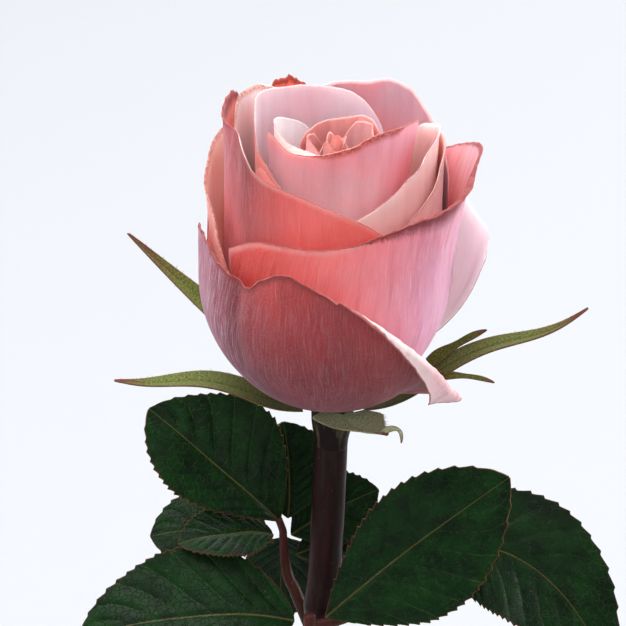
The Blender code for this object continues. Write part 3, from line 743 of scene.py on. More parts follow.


# SHADE: the front petal's own dark mauve, darkened further as painted shade at its foot, low under the bloom
# where little light reaches
SHADE = paint(95, 37, 57)
DEEP = paint(118, 34, 43)
AMBER = paint(240, 144, 112)
FINISH = {
    "petal_outer_front": sheet(
        ((-102, MAUVE, MAUVE, paint(160, 104, 124)), (-66, SHADE, paint(138, 74, 98), paint(150, 88, 108)),
         (-48, SHADE, SHADE, paint(120, 56, 62)), (-28, SHADE, DEEP, paint(176, 66, 66)),
         (0, SHADE, DEEP, paint(150, 52, 54)), (50, SHADE, DEEP, paint(150, 66, 64))),
        ((-102, SALMON, SALMON, PEACH), (-14, SALMON, SALMON, PEACH),
         (10, BLUSH, paint(255, 226, 228), paint(255, 228, 226)),
         (32, BLUSH, paint(255, 214, 214), paint(255, 214, 212)),
         (44, BLUSH, paint(255, 196, 198), paint(252, 198, 200))),
        silver=((-102, 0.8), (-70, 0.65), (-56, 0.45), (-46, 0.03), (74, 0.02)),
        burn=((-102, 0.9), (-70, 1.0), (-44, 1.4), (-10, 1.6), (10, 0.9), (30, 0.4), (74, 0.4)),
        scorch=paint(140, 64, 60)),
    "petal_outer_left": sheet(
        ((-172, MAUVE, SALMON, SALMON), (-80, ROSE, paint(222, 138, 130), paint(226, 146, 136))),
        ((-172, SALMON, paint(255, 158, 152), paint(255, 182, 172)),),
        silver=((-172, 0.2), (-47, 0.05)),
        burn=((-172, 0.4), (-120, 0.9), (-60, 0.9), (-47, 0.4)),
        scorch=paint(196, 130, 112)),
    "petal_outer_right": sheet(
        all_round(LILAC, paint(238, 172, 188), paint(240, 176, 190)),
        # painted light: the near-white inside stands in for light shining through this petal, whose inside faces
        # the shaded middle of the bloom
        all_round(paint(255, 190, 198), paint(255, 216, 226), paint(255, 226, 236)),
        silver=((0, 0.25),)),
    "petal_outer_back": sheet(
        all_round(MAUVE, ROSE, SALMON),
        ((-170, SALMON, SALMON, SALMON), (-163, SALMON, SALMON, AMBER), (-151, SALMON, SALMON, AMBER),
         (-144, SALMON, SALMON, SALMON)),
        silver=((0, 0.4),),
        burn=((-216, 0.2), (-170, 0.5), (-162, 1.3), (-152, 1.3), (-144, 0.5), (-112, 0.2)),
        scorch=paint(150, 62, 46)),
    "petal_wrap_right": sheet(
        # painted shade: the deep, dark coral at the left (-62 to -38) is the shadowed crevice beside the left
        # petals; the outside turns lighter lilac to the right
        ((-62, CORAL, paint(196, 62, 56), paint(186, 54, 48)),
         (-38, CORAL, paint(200, 68, 60), paint(208, 76, 68)),
         (-10, LILAC, paint(240, 140, 142), paint(224, 112, 108)),
         (16, LILAC, paint(250, 158, 170), paint(250, 142, 148)),
         (46, LILAC, paint(234, 166, 196), paint(218, 146, 168)), (128, LILAC, LILAC, LILAC)),
        ((-62, SALMON, SALMON, SALMON), (60, SALMON, SALMON, paint(214, 176, 186))),
        silver=((-62, 0.02), (0, 0.15), (26, 0.4), (46, 0.75), (70, 0.6), (128, 0.4)),
        pale=((-62, 1.1), (0, 1.0), (24, 0.4)),
        burn=((-62, 0.05), (0, 0.1), (14, 1.1), (28, 2.6), (44, 3.8), (62, 4.8), (74, 4.6), (84, 1.4),
              (128, 0.2)),
        scorch=paint(130, 44, 38)),
    "petal_second_left": sheet(
        ((-128, MAUVE, paint(146, 92, 98), paint(156, 104, 112)),
         (-84, MAUVE, paint(232, 110, 116), paint(158, 86, 92)),
         # painted shade: the dark top at -56 is where this petal sits in shadow beside its left neighbour
         (-56, ROSE, paint(182, 82, 84), paint(130, 60, 62)),
         (-26, ROSE, paint(222, 106, 102), paint(208, 100, 96)),
         (42, CORAL, paint(222, 98, 90), paint(236, 136, 128))),
        all_round(SALMON, SALMON, PEACH),
        silver=((-128, 0.6), (-86, 0.6), (-66, 0.15), (42, 0.02)),
        burn=((-128, 0.6), (-112, 2.2), (-98, 3.0), (-86, 2.0), (-72, 0.4), (-60, 0.05), (42, 0.05)),
        pale=((-70, 0.4), (-50, 0.9), (42, 0.9)),
        scorch=paint(140, 66, 76)),
    "petal_second_right": sheet(
        all_round(ROSE, paint(255, 200, 196), paint(255, 204, 200)), all_round(SALMON, PEACH, PEACH)),
    "petal_second_back": sheet(
        all_round(ROSE, SALMON, SALMON), all_round(SALMON, paint(240, 180, 188), paint(174, 152, 165))),
    "petal_third_left": sheet(
        all_round(ROSE, SALMON, SALMON),
        # painted light: the inside is made paler to stand for light that reaches this deep gap through the
        # petals in front of it
        all_round(paint(255, 190, 178), paint(255, 226, 224), paint(246, 222, 228)),
        burn=((-174, 0.4), (-130, 1.4), (-100, 1.1), (-38, 0.3)),
        scorch=paint(206, 150, 130)),
    "petal_third_right": sheet(
        all_round(CORAL, paint(255, 172, 170), paint(255, 188, 184)),
        all_round(CORAL, paint(255, 118, 98), paint(250, 182, 178)),
        pale=((0, 0.9),)),
    "petal_third_front": sheet(all_round(CORAL, SALMON, SALMON), all_round(CORAL, SALMON, PEACH)),
    "petal_arch_back": sheet(
        all_round(CORAL, SALMON, paint(240, 156, 150)),
        all_round(paint(255, 176, 160), paint(248, 212, 214), paint(217, 206, 219)),
        pale=((0, 0.8),)),
    "petal_cup_left": sheet(
        all_round(CORAL, PEACH, PEACH), all_round(PEACH, paint(255, 234, 236), paint(249, 234, 240))),
    "petal_cup_front": sheet(
        # painted light: the near-white middles of the outside stand for light glowing low inside the cup, where
        # the petal sits deep in shade
        ((-80, PEACH, paint(255, 222, 222), paint(196, 142, 150)),
         (0, PEACH, paint(255, 234, 238), paint(204, 146, 156)),
         (30, PEACH, paint(255, 240, 244), paint(216, 160, 176)),
         (60, BLUSH, paint(250, 200, 214), paint(220, 172, 190))),
        all_round(CORAL, PEACH, paint(250, 200, 196)),
        silver=((-80, 0.02), (20, 0.1), (50, 0.25), (146, 0.05)),
        burn=((-80, 0.2), (-30, 0.2), (-6, 1.2), (40, 1.6), (60, 0.4), (146, 0.2)),
        scorch=BROWN),
}
PLAIN = sheet(
    all_round(SALMON, paint(236, 166, 162), paint(226, 162, 160)),
    all_round(SALMON, paint(236, 168, 164), paint(206, 158, 158)),
    pale=((0, 0.12),))
print("petals with a sheet of their own:", len(FINISH))

# %% [markdown]
# ## Making the petals
# Now each surface gets its thickness and its sheet.  The colours of the sheet are blended round the petal and up
# it, point by point, so that no seam shows between them.  The outermost petals that the light shines through
# get a finish that lets more of it pass.

# %% Building every petal
def three_way(colours, share):
    low, middle, top = colours
    if share < 0.5:
        return low + (middle - low) * (share * 2)
    return middle + (top - middle) * (share * 2 - 1)


def dress(grid, azimuths, look):
    """All that the petal material reads, for the outer and the inner skin."""
    columns, rows = grid.shape[:2]
    lengths = np.concatenate(
        [np.zeros((columns, 1)), np.cumsum(np.linalg.norm(np.diff(grid, axis=1), axis=2), axis=1)], axis=1
    )
    share = lengths / lengths.max(axis=1, keepdims=True)
    radius = np.linalg.norm(grid[:, rows // 2, :2], axis=1).mean()
    across = np.radians(azimuths - azimuths.mean())[:, None] * radius * (0.55 + 0.45 * share)
    skins = []
    for side in ("outside", "inside"):
        entries = look[side]
        stops = [entry[0] for entry in entries]
        ring_colours = np.array([
            [np.interp(azimuths, stops, [entry[level][channel] for entry in entries]) for channel in range(4)]
            for level in (1, 2, 3)
        ]).transpose(2, 0, 1)
        colours = np.array([[three_way(ring_colours[i], s) for s in share[i]] for i in range(columns)])
        skins.append(colours.reshape(-1, 4))

    def ring(key, plain):
        values = [along(look.get(key, ((0, plain),)), a) for a in azimuths]
        return np.repeat(np.array(values)[:, None], rows, axis=1)

    count = columns * rows
    layers = {
        "place": np.stack([across, lengths, np.zeros_like(across)], axis=2).reshape(count, 3),
        "edge": edge_distance(grid).reshape(count, 1),
        "silver": ring("silver", 0.03).reshape(count, 1),
        "burn": ring("burn", 0.02).reshape(count, 1),
        "pale": ring("pale", 0.5).reshape(count, 1),
        "scorch": np.tile(look.get("scorch", BROWN), (count, 1)),
    }
    both = {key: np.concatenate([flat, flat]) for key, flat in layers.items()}
    both["tint"] = np.concatenate(skins)
    both["silver"][count:] *= 0.1
    return both


def add_petal(name, grid, azimuths, look, thick, material):
    """A petal thins towards its free edge."""
    half = thick * (0.38 + 0.62 * np.clip(edge_distance(grid)[..., None] / 2.5, 0, 1)) / 2
    add_skins(name + "_skin", name, grid, half, dress(grid, azimuths, look), material)


PETAL_THICK = {"outer_petals": 0.42, "inner_petals": 0.34}  # mm
BUD_THICK = 0.3
FINE_ROLL = (0.75, 0.45)  # mm of rolled edge on the wide petals and on those near the bud
THIN = ("petal_outer_right", "petal_outer_left", "petal_third_right", "petal_third_left", "petal_cup_left")
for number, (name, petal) in enumerate(PETALS.items()):
    weathered = name.startswith("petal_outer") or name == "petal_wrap_right"
    grid, azimuths = petal_surface(name, petal, number + 1, FINE_ROLL[petal["wall"][0][1] <= 18])
    slot = "outer_petals" if weathered else "inner_petals"
    finish = thin_finish if name in THIN else outer_finish if weathered else inner_finish
    add_petal(name, grid, azimuths, FINISH.get(name, PLAIN), PETAL_THICK[slot], finish)
for index in range(BUD_PETALS):
    grid, azimuths = bud_surface(index)
    add_petal(f"petal_bud_{index + 1}", grid, azimuths, PLAIN, BUD_THICK, inner_finish)
print("petals made:", len(PETALS) + BUD_PETALS)

# %% [markdown]
# ## Leaves
# A rose leaflet is folded a little along its midrib, quilted between side veins, and its margin is toothed.
# The outline is cut tooth by tooth, because a toothed picture on a smooth leaf looks false from the side.
# The quilting is real height too, and only the smallest net of veins is left to the material.

# %% Leaf outline, teeth and quilting
LEAFLETS = {
    "leaflet_back_top": {"foot": (-10.6, 8, -31.6), "bend": (-22, 7, -19), "tip": (-37, 12, -8),
                         "face": (0.12, -0.8, 0.6), "half": 12.2, "cup": 0.10, "widest": 0.56,
                         "skew": -0.45},
    "leaflet_back_left": {"foot": (-11.8, 6.4, -33.6), "bend": (-20, 3, -30), "tip": (-31, -1, -32),
                          "face": (0, -0.35, 0.95), "half": 7.0, "cup": 0.10, "widest": 0.52},
    "leaflet_back_dark": {"foot": (-12.0, 11.5, -38.0), "bend": (-22, 15, -35), "tip": (-37.5, 17, -40),
                          "face": (0, -0.6, 0.8), "half": 9.5, "cup": 0.10, "widest": 0.6},
    "leaflet_back_up": {"foot": (-9.0, 11.0, -32.5), "bend": (-8, 15, -23), "tip": (-10, 18, -14),
                        "face": (0.1, -0.95, 0.2), "half": 8.6, "cup": 0.10, "widest": 0.55},
    "leaflet_back_right": {"foot": (-8.4, 11.5, -36.6), "bend": (-1, 14, -32), "tip": (9.5, 14, -27.5),
                           "face": (0.1, -0.8, 0.6), "half": 7.5, "cup": 0.10, "widest": 0.55},
    "leaflet_back_low_right": {"foot": (-7.4, 10.5, -40.5), "bend": (0, 12, -38), "tip": (8.5, 10, -36.5),
                               "face": (0, -0.6, 0.8), "half": 4.6, "cup": 0.10, "widest": 0.5},
    "leaflet_back_low_left": {"foot": (-9.8, 13.6, -38.5), "bend": (-10.5, 17, -46), "tip": (-11, 19, -63),
                              "face": (0.1, -0.95, 0.25), "half": 7.6, "cup": 0.08, "widest": 0.4},
    "leaflet_front_left": {"foot": (-7.6, -8, -45.5), "bend": (-28, -10, -40), "tip": (-51, -10, -49),
                           "face": (0, -0.62, 0.78), "half": 14.0, "cup": 0.12, "widest": 0.48},
    "leaflet_front_right": {"foot": (-1.6, -9, -44.5), "bend": (13, -12, -28), "tip": (34.5, -13, -10.5),
                            "face": (0.1, -0.88, 0.46), "half": 13.0, "cup": 0.12, "widest": 0.58,
                            "skew": -0.3},
    "leaflet_front_end": {"foot": (18, 2, -37), "bend": (42, 2, -25), "tip": (57, -4, -62),
                          "face": (0.2, -0.7, 0.7), "half": 13.5, "cup": 0.12, "widest": 0.45},
}
TEETH = 21           # on each side
SIDE_VEINS = 8.0     # on each side
TOOTH_DEPTH = 0.62   # mm
QUILT_DEPTH = 0.36   # mm that the blade sinks at a side vein
GROOVE = (0.45, 0.7)  # mm deep and mm wide, over the midrib
LEAF_THICK = 0.34    # mm


def leaf_outline(s, widest):
    power = math.log(0.5) / math.log(widest)
    return max(0.02, math.sin(math.pi * min(1.0, s) ** power) ** 0.72)


def leaf_surface(leaf, seed, columns=72, rows=150):
    foot, bend, tip = (np.array(leaf[k], float) for k in ("foot", "bend", "tip"))
    face = unit(leaf["face"])
    grid, marks = [], []
    for i in range(columns + 1):
        t = -1 + 2 * i / columns
        t = math.copysign(1 - (1 - abs(t)) ** 1.25, t)
        line, mark = [], []
        for j in range(rows + 1):
            s = j / rows
            at = foot * (1 - s) ** 2 + bend * 2 * s * (1 - s) + tip * s * s
            ahead = unit((bend - foot) * 2 * (1 - s) + (tip - bend) * 2 * s)
            side = unit(np.cross(face, ahead))
            up = unit(np.cross(ahead, side))
            outline = leaf_outline(s, leaf["widest"])
            half = leaf["half"] * outline
            half *= 1 + leaf.get("skew", 0) * t * (1 - s)
            saw = (s * TEETH + 0.37 * math.sin(7 * s + seed) + (0.5 if t > 0 else 0)) % 1.0
            tooth = (saw ** 1.6) * ease(0.05, 0.2, s) * (1 - ease(0.94, 1.0, s))
            reach = 1 + tooth * TOOTH_DEPTH / max(3.0, half) * abs(t) ** 6
            vein = s * SIDE_VEINS - 2.4 * abs(t) ** 0.85 + 0.5 * (t > 0) + 0.12 * math.sin(5 * s + seed)
            gap = abs(vein % 1.0 - 0.5) * 2
            puff = gap ** 3 * QUILT_DEPTH * ease(0.03, 0.3, abs(t)) * (1 - abs(t) ** 4)
            groove = -GROOVE[0] * math.exp(-((t * half / GROOVE[1]) ** 2)) * (1 - s) ** 0.5
            wave = 0.035 * half * math.sin(9 * s + 2 * t)
            curl = 0.02 * half * math.sin(23 * s + 4 * seed) * abs(t) ** 3
            height = leaf["cup"] * half * abs(t) ** 1.3 + wave + curl - puff * min(1, half / 8) + groove
            line.append(at + side * (half * t * reach) + up * height)
            mark.append((s, t * outline, gap))
        grid.append(line)
        marks.append(mark)
    return np.array(grid), np.array(marks)


print("leaflets:", len(LEAFLETS), "with", TEETH, "teeth on each side")

# %% [markdown]
# ## The leaf's finish
# The upper face is a dark green with a low gloss and a net of small veins, the lower face is paler and dull.
# The net is drawn by a cell pattern whose borders are bent by noise, since real veins meet at angles but never
# run straight.  The side veins and the midrib use the values stored with the shape, so that they sit in it.

# %% Leaf material
LEAF_DARK = paint(2, 20, 3)
LEAF_GREEN = paint(8, 44, 8)
LEAF_UNDER = paint(70, 98, 62)
LEAF_VEIN = paint(72, 96, 50)
MIDRIB = paint(96, 84, 46)
LEAF_RIM = paint(96, 40, 32)


def leaf_material(name):
    m = Finish(name)
    place = m.read("place", "Vector")
    under = m.read("outer")
    edge = m.read("edge")
    gap = m.read("gap")
    mottle = m.noise(place, (5.0, 6.0, 5.0), 4, 0.6)
    grain = m.noise(place, (0.5, 0.5, 0.5), 3, 0.6)
    bent = m.tree.nodes.new("ShaderNodeVectorMath")
    bent.operation = "MULTIPLY_ADD"
    wander = m.tree.nodes.new("ShaderNodeTexNoise")
    wander.inputs["Scale"].default_value = 0.6
    m.feed(wander.inputs["Vector"], place)
    m.feed(bent.inputs[0], wander.outputs["Color"])
    bent.inputs[1].default_value = (1.6, 1.6, 1.6)
    m.feed(bent.inputs[2], place)
    net = m.tree.nodes.new("ShaderNodeTexVoronoi")
    net.feature = "DISTANCE_TO_EDGE"
    net.inputs["Scale"].default_value = 1.0
    m.feed(net.inputs["Vector"], m.stretch(bent.outputs[0], (1.35, 1.35, 1.35)))
    mesh_lines = m.remap(net.outputs["Distance"], 0.0, 0.07, 1.0, 0.0)
    top = m.blend(m.remap(mottle, 0.3, 0.7), LEAF_DARK, LEAF_GREEN)
    top = m.blend(m.times(mesh_lines, 0.09), top, LEAF_VEIN)
    side_vein = m.remap(gap, 0.93, 0.99)
    top = m.blend(m.times(side_vein, 0.42), top, LEAF_VEIN)
    midrib = m.remap(m.read("midrib"), 0.10, 0.34, 1.0, 0.0)
    top = m.blend(m.times(midrib, 0.6), top, MIDRIB)
    low = m.blend(m.times(mesh_lines, 0.35), LEAF_UNDER, LEAF_VEIN)
    colour = m.blend(under, top, low)
    rim = m.remap(edge, 0.08, 0.32, 1.0, 0.0)
    colour = m.blend(m.times(rim, 0.55), colour, LEAF_RIM)
    m.shade("Base Color", colour)
    gloss = m.remap(grain, 0.3, 0.7, 0.36, 0.48)
    m.shade("Roughness", m.plus(gloss, m.times(under, 0.3)))
    m.shade("Specular IOR Level", 0.11)
    m.shade("Subsurface Weight", 0.12)
    m.shade("Subsurface Radius", (0.5, 1.0, 0.25))
    m.shade("Subsurface Scale", 0.6 * MM)
    relief = m.plus(m.times(grain, 0.35), m.times(mesh_lines, -1.0))
    m.bump(relief, 0.10, 0.9)
    return m.material


leaf_finish = leaf_material("leaf_blade")
print("leaf finish:", leaf_finish.name)

# %% [markdown]
# ## Making the leaflets
# Each blade keeps its distance from the midrib and from the margin at every point, for the finish to read.

# %% Building the leaflets
def leaf_layers(grid, marks):
    columns, rows = grid.shape[:2]
    count = columns * rows
    centre = grid[columns // 2]
    along_leaf = np.concatenate([[0], np.cumsum(np.linalg.norm(np.diff(centre, axis=0), axis=1))])
    from_rib = np.linalg.norm(grid - centre[None], axis=2)
    sign = np.sign(marks[..., 1])
    margin = np.where(sign < 0, from_rib[0][None], from_rib[-1][None])
    place = np.stack([from_rib * sign, np.repeat(along_leaf[None], columns, axis=0), 0 * from_rib], axis=2)
    layers = {
        "place": place.reshape(count, 3),
        "gap": marks[..., 2].reshape(count, 1),
        "midrib": (from_rib / (1.25 - marks[..., 0])).reshape(count, 1),
        "edge": (margin - from_rib).reshape(count, 1),
    }
    both = {key: np.concatenate([flat, flat]) for key, flat in layers.items()}
    both["outer"] = np.concatenate([np.ones((count, 1)), np.zeros((count, 1))])
    return both


for number, (name, leaf) in enumerate(LEAFLETS.items()):
    grid, marks = leaf_surface(leaf, number + 1)
    add_skins(name + "_blade", name, grid, LEAF_THICK / 2, leaf_layers(grid, marks), leaf_finish)
print("leaf blades made:", len(LEAFLETS))

# %% [markdown]
# ## Stem and leaf stalks
# The stem is nearly straight, a little swollen where leaves join it, dark wine red on top and olive lower
# down.  It could be a curve with a bevel, but rings of points let its radius swell at the joints.

# %% Tubes
STEM_LENGTH = 170.0
STEM_FOOT_RADIUS = 3.6
STEM_TOP_RADIUS = 3.3
LEAF_NODES = (134.0, 98.0)
STALKS = {
    "petiole_back": {"start": (-3.4, 1.0, -55.5), "end": (-10.9, 8.0, -31.0), "radii": (1.25, 0.75), "steps": 12,
                     "path": ((-6.9, 4.0, -46.5), (-10.4, 8, -44), (-9.6, 10, -38), (-10.2, 8.3, -32.6))},
    "petiole_front": {"start": (-2.2, -2.4, -76.0), "end": (-4.6, -8.4, -44.0), "radii": (1.5, 1.2), "steps": 12,
                      "path": ((-4.4, -5.2, -72), (-4.6, -13, -64), (-4.8, -9.5, -50), (-4.4, -8.8, -46))},
    "rachis_front": {"start": (-4.2, -8.6, -46.2), "end": (18.6, 2.1, -36.8), "radii": (1.0, 0.8), "steps": 10,
                     "path": ((-2.6, -7.4, -46.4), (4, -4.2, -49), (12, 1, -44), (17, 2, -38.2))},
}


def tube(path, radii, sides, flat_start=False):
    path = np.array(path, float)
    ahead = np.gradient(path, axis=0)
    if flat_start:
        ahead[0] = (0, 0, 1)
    side = np.array([1.0, 0.0, 0.0])
    points, faces = [], []
    for centre, direction, radius in zip(path, ahead, radii):
        direction = unit(direction)
        side = unit(side - direction * float(np.dot(side, direction)))
        other = np.cross(direction, side)
        for k in range(sides):
            a = 2 * math.pi * k / sides
            points.append(centre + (side * math.cos(a) + other * math.sin(a)) * radius)
    for ring in range(len(path) - 1):
        for k in range(sides):
            a, b = ring * sides + k, ring * sides + (k + 1) % sides
            faces.append((a, b, b + sides, a + sides))
    faces.append(tuple(range(sides))[::-1])
    faces.append(tuple(range((len(path) - 1) * sides, len(path) * sides)))
    return np.array(points), faces


def bezier(points, steps):
    points = [np.array(p, float) for p in points]
    out = []
    for k in range(steps + 1):
        u = k / steps
        layer = points
        while len(layer) > 1:
            layer = [a * (1 - u) + b * u for a, b in zip(layer, layer[1:])]
        out.append(layer[0])
    return out


def smooth_path(points, steps):
    """More points on a soft curve through the given ones."""
    points = [np.asarray(p, float) for p in points]
    ends = [2 * points[0] - points[1]] + points + [2 * points[-1] - points[-2]]
    out = []
    for a, b, c, d in zip(ends, ends[1:], ends[2:], ends[3:]):
        for k in range(steps):
            u = k / steps
            out.append(b + 0.5 * u * (c - a + u * (2 * a - 5 * b + 4 * c - d + u * (3 * (b - c) + d - a))))
    return out + [points[-1]]


def stem_centre(z):
    return np.array([BLOOM_BASE[0] * ease(20, 215, z) * 1.09, 0.0, z])


print("stem centre at its top:", stem_centre(STEM_LENGTH).round(2))

# %% [markdown]
# ## Bark
# Young rose wood is green, sunlit wood turns wine red, and fine streaks and pale specks run along it.  One
# recipe serves the stem, the stalks and the hip: it blends a young and an old colour over a span of heights,
# which hides the joints between them better than three plain paints would.

# %% Bark material
def bark_material(name, young, old, change):
    """young at the top, old below; change is the heights in mm between which one turns into the other."""
    m = Finish(name)
    where = m.tree.nodes.new("ShaderNodeTexCoord").outputs["Object"]
    height = m.read("height")
    streak = m.noise(where, (0.0012, 0.0012, 0.012), 5, 0.6)
    speck = m.noise(where, (0.0005, 0.0005, 0.0009), 3, 0.6)
    drift = m.remap(streak, 0.3, 0.7, -0.3, 0.3)
    share = m.plus(m.remap(height, change[0], change[1]), drift, clamp=True)
    colour = m.blend(share, old, young)
    colour = m.blend(m.remap(streak, 0.45, 0.75, 0.0, 0.4), colour, paint(58, 22, 22), "SCREEN")
    colour = m.blend(m.remap(speck, 0.64, 0.74, 0.0, 0.35), colour, paint(120, 96, 74))
    m.shade("Base Color", colour)
    m.shade("Roughness", m.remap(streak, 0.3, 0.7, 0.36, 0.52))
    m.shade("Specular IOR Level", 0.1)
    m.shade("Subsurface Weight", 0.08)
    m.shade("Subsurface Scale", 0.5 * MM)
    m.bump(m.plus(streak, m.times(speck, 0.5)), 0.12, 0.8)
    return m.material


stem_bark = bark_material("stem_bark", paint(26, 8, 10), paint(50, 44, 24), (30.0, 128.0))
stalk_bark = bark_material("stalk_bark", paint(64, 30, 26), paint(58, 52, 28), (112.0, 140.0))
print("bark finishes:", stem_bark.name, stalk_bark.name)

# %% [markdown]
# ## Making the stem and the stalks
# The stem swells a little where a leaf joins, with a sharper ring in the middle of the swelling.  A stalk starts
# inside the stem and ends inside a leaflet, so that no gap can open between them.

# %% Building stem and stalks
def add_stem():
    heights = [0.0, 0.3, 0.8] + [1.5 + 173.5 * k / 200 for k in range(201)]
    radii = []
    for z in heights:
        radius = STEM_FOOT_RADIUS + (STEM_TOP_RADIUS - STEM_FOOT_RADIUS) * z / STEM_LENGTH
        for node in LEAF_NODES:
            radius += 0.5 * math.exp(-((z - node) / 4.0) ** 2) + 0.18 * math.exp(-((z - node) / 0.8) ** 2)
        radius += 0.05 * math.sin(0.35 * z) * math.sin(0.11 * z + 1)
        radii.append(radius - 0.25 * (1 - ease(0, 1.0, z)))
    points, faces = tube([stem_centre(z) for z in heights], radii, 48, flat_start=True)
    piece = add_piece("stem_skin", "stem", points, faces, stem_bark, at=np.zeros(3))
    store(piece, "height", points[:, 2])


def add_stalks():
    for name, stalk in STALKS.items():
        start, end = (np.array(stalk[k], float) for k in ("start", "end"))
        path = [start] + bezier(stalk["path"], stalk["steps"])[1:-1] + [end]
        path = smooth_path(path, 6)
        thick, thin = stalk["radii"]
        radii = [thick + (thin - thick) * k / (len(path) - 1) for k in range(len(path))]
        points, faces = tube(path, radii, 20)
        piece = add_piece(name + "_skin", name, points, faces, stalk_bark)
        store(piece, "height", points[:, 2] + BLOOM_BASE[2])


add_stem()
add_stalks()
print("stalks made:", len(STALKS))

# %% [markdown]
# ## Calyx: hip and sepals
# The hip is the green swelling that carries the petals.  Five narrow sepals grow from it and once wrapped the
# bud, and now they hang loose under the bloom.  The hip is a tube with its own outline of radii, and each sepal
# is a tapering strip with its own bend.

# %% Hip
# HIP_PROFILE: (radius, height above the foot of the bloom), both in mm
HIP_PROFILE = ((3.28, -10.0), (3.4, -8.4), (3.8, -6.4), (4.1, -4.2), (4.2, -2.4), (4.3, -0.6), (4.7, 0.4),
               (4.4, 2.2), (2.6, 7.0), (1.2, 11.0), (0.45, 13.2))
hip_bark = bark_material("hip_skin_green", paint(104, 110, 76), paint(20, 5, 6), (178.0, 183.0))


def add_hip():
    steps, sides = 90, 48
    shape = [(z, radius) for radius, z in HIP_PROFILE]
    low, high = shape[0][0], shape[-1][0]
    heights = [low + (high - low) * k / steps for k in range(steps + 1)]
    path = [(BLOOM_LEAN * z, 0, z) for z in heights]
    points, faces = tube(path, [along(shape, z) for z in heights], sides)
    piece = add_piece("hip_skin", "hip", points, faces, hip_bark)
    store(piece, "height", points[:, 2] + BLOOM_BASE[2])


add_hip()
print("hip made, widest radius", max(r for r, _ in HIP_PROFILE), "mm")

# %% Sepals
# lift is how high the tip stands over the foot, bow how far the middle arches up, and sweep how far the tip is
# carried sideways, all in mm.  The front sepal is shifted a little, to lie against the bloom.
SEPALS = {
    "sepal_left": {"azimuth": -88, "length": 43, "half": 5.2, "lift": 6.4, "bow": 4.0, "sweep": 0},
    "sepal_left_back": {"azimuth": -150, "length": 44, "half": 4.8, "lift": 25.5, "bow": 1.6, "sweep": 22},
    "sepal_right": {"azimuth": 92, "length": 50, "half": 4.8, "lift": 20.5, "bow": 6.0, "sweep": 0},
    "sepal_front": {"azimuth": 7, "length": 17, "half": 7.4, "lift": 0.8, "bow": -0.8, "sweep": 7,
                    "shift": (1.2, 0, 1.0)},
    "sepal_back": {"azimuth": 150, "length": 42, "half": 4.7, "lift": 10, "bow": 2.0, "sweep": 0},
}
SEPAL_FOOT = (6.0, -1.3)
SEPAL_THICK = 0.36


def sepal_surface(sepal, seed, columns=36, rows=120):
    out = outward(sepal["azimuth"])
    side = outward(sepal["azimuth"] + 90)
    grid = []
    for i in range(columns + 1):
        t = -1 + 2 * i / columns
        line = []
        for j in range(rows + 1):
            s = j / rows
            run = SEPAL_FOOT[0] + (sepal["length"] - SEPAL_FOOT[0]) * s
            z = SEPAL_FOOT[1] + sepal["lift"] * s ** 2 + sepal["bow"] * math.sin(math.pi * s) ** 2
            half = sepal["half"] * (0.6 + 0.4 * ease(0, 0.25, s)) * (1 - s ** 1.5) ** 0.9 + 0.22
            sway = 0.25 * math.sin(11 * s + seed) * s
            across = side * (half * t + sway + sepal["sweep"] * s ** 1.6)
            rib = -0.22 * math.exp(-((half * t / 0.45) ** 2))
            line.append(out * run + across + np.array([0, 0, z + 0.16 * half * abs(t) ** 1.5 + rib]))
        grid.append(line)
    return np.array(grid) + np.array(sepal.get("shift", (0, 0, 0)), float)


print("sepals:", ", ".join(SEPALS))

# %% [markdown]
# ## The sepal's finish
# A sepal is green and streaked outside, woolly and paler inside, and it dries to brown at its tip.  The wool is
# far too fine to model, so noise at the scale of its hairs roughens the surface instead.

# %% Sepal material
def sepal_material(name, dark, light, inner):
    m = Finish(name)
    place = m.read("place", "Vector")
    streak = m.noise(place, (0.5, 6.0, 1.0), 5, 0.6)
    wool = m.noise(place, (0.25, 0.5, 0.3), 4, 0.7)
    outside = m.blend(m.remap(streak, 0.35, 0.7), dark, light)
    inside = m.blend(m.remap(wool, 0.35, 0.7), dark, inner)
    colour = m.blend(m.read("outer"), inside, outside)
    tip = m.plus(m.read("length"), m.remap(streak, 0.3, 0.7, -0.1, 0.1))
    colour = m.blend(m.remap(tip, 0.78, 1.02), colour, paint(96, 44, 46))
    rim = m.remap(m.read("edge"), 0.05, 0.3, 0.45, 0.0)
    colour = m.blend(rim, colour, paint(110, 70, 56))
    m.shade("Base Color", colour)
    m.shade("Roughness", m.remap(wool, 0.3, 0.7, 0.55, 0.75))
    m.shade("Specular IOR Level", 0.12)
    m.shade("Subsurface Weight", 0.15)
    m.shade("Subsurface Scale", 0.5 * MM)
    m.bump(m.plus(streak, wool), 0.12, 0.8)
    return m.material


sepal_finish = sepal_material("sepal_green", paint(48, 62, 20), paint(108, 118, 52), paint(122, 126, 62))
# the front sepal's pale woolly colours are partly painted light, made paler against the shade under the bloom
woolly_painted_light_finish = sepal_material("sepal_woolly_painted_light", paint(132, 140, 98), paint(196, 200, 166), paint(206, 210, 176))
print("sepal finishes:", sepal_finish.name, woolly_painted_light_finish.name)

# %% [markdown]
# ## Making the sepals
# A sepal reads the same stored values as a leaf, and one more: how far along it a point lies, which tells the
# finish where to turn brown.

# %% Building the sepals
def add_strip(name, node, grid, thick, start=0.0):
    """start is the share of a sepal's length at which the strip begins."""
    columns, rows = grid.shape[:2]
    marks = np.zeros(grid.shape)
    marks[..., 0] = np.linspace(start, 1, rows)[None]
    marks[..., 1] = np.linspace(-1, 1, columns)[:, None]
    layers = leaf_layers(grid, marks)
    layers["length"] = np.concatenate([marks[..., 0].reshape(-1, 1)] * 2)
    material = woolly_painted_light_finish if name.startswith("sepal_front") else sepal_finish
    add_skins(name, node, grid, thick / 2, layers, material)


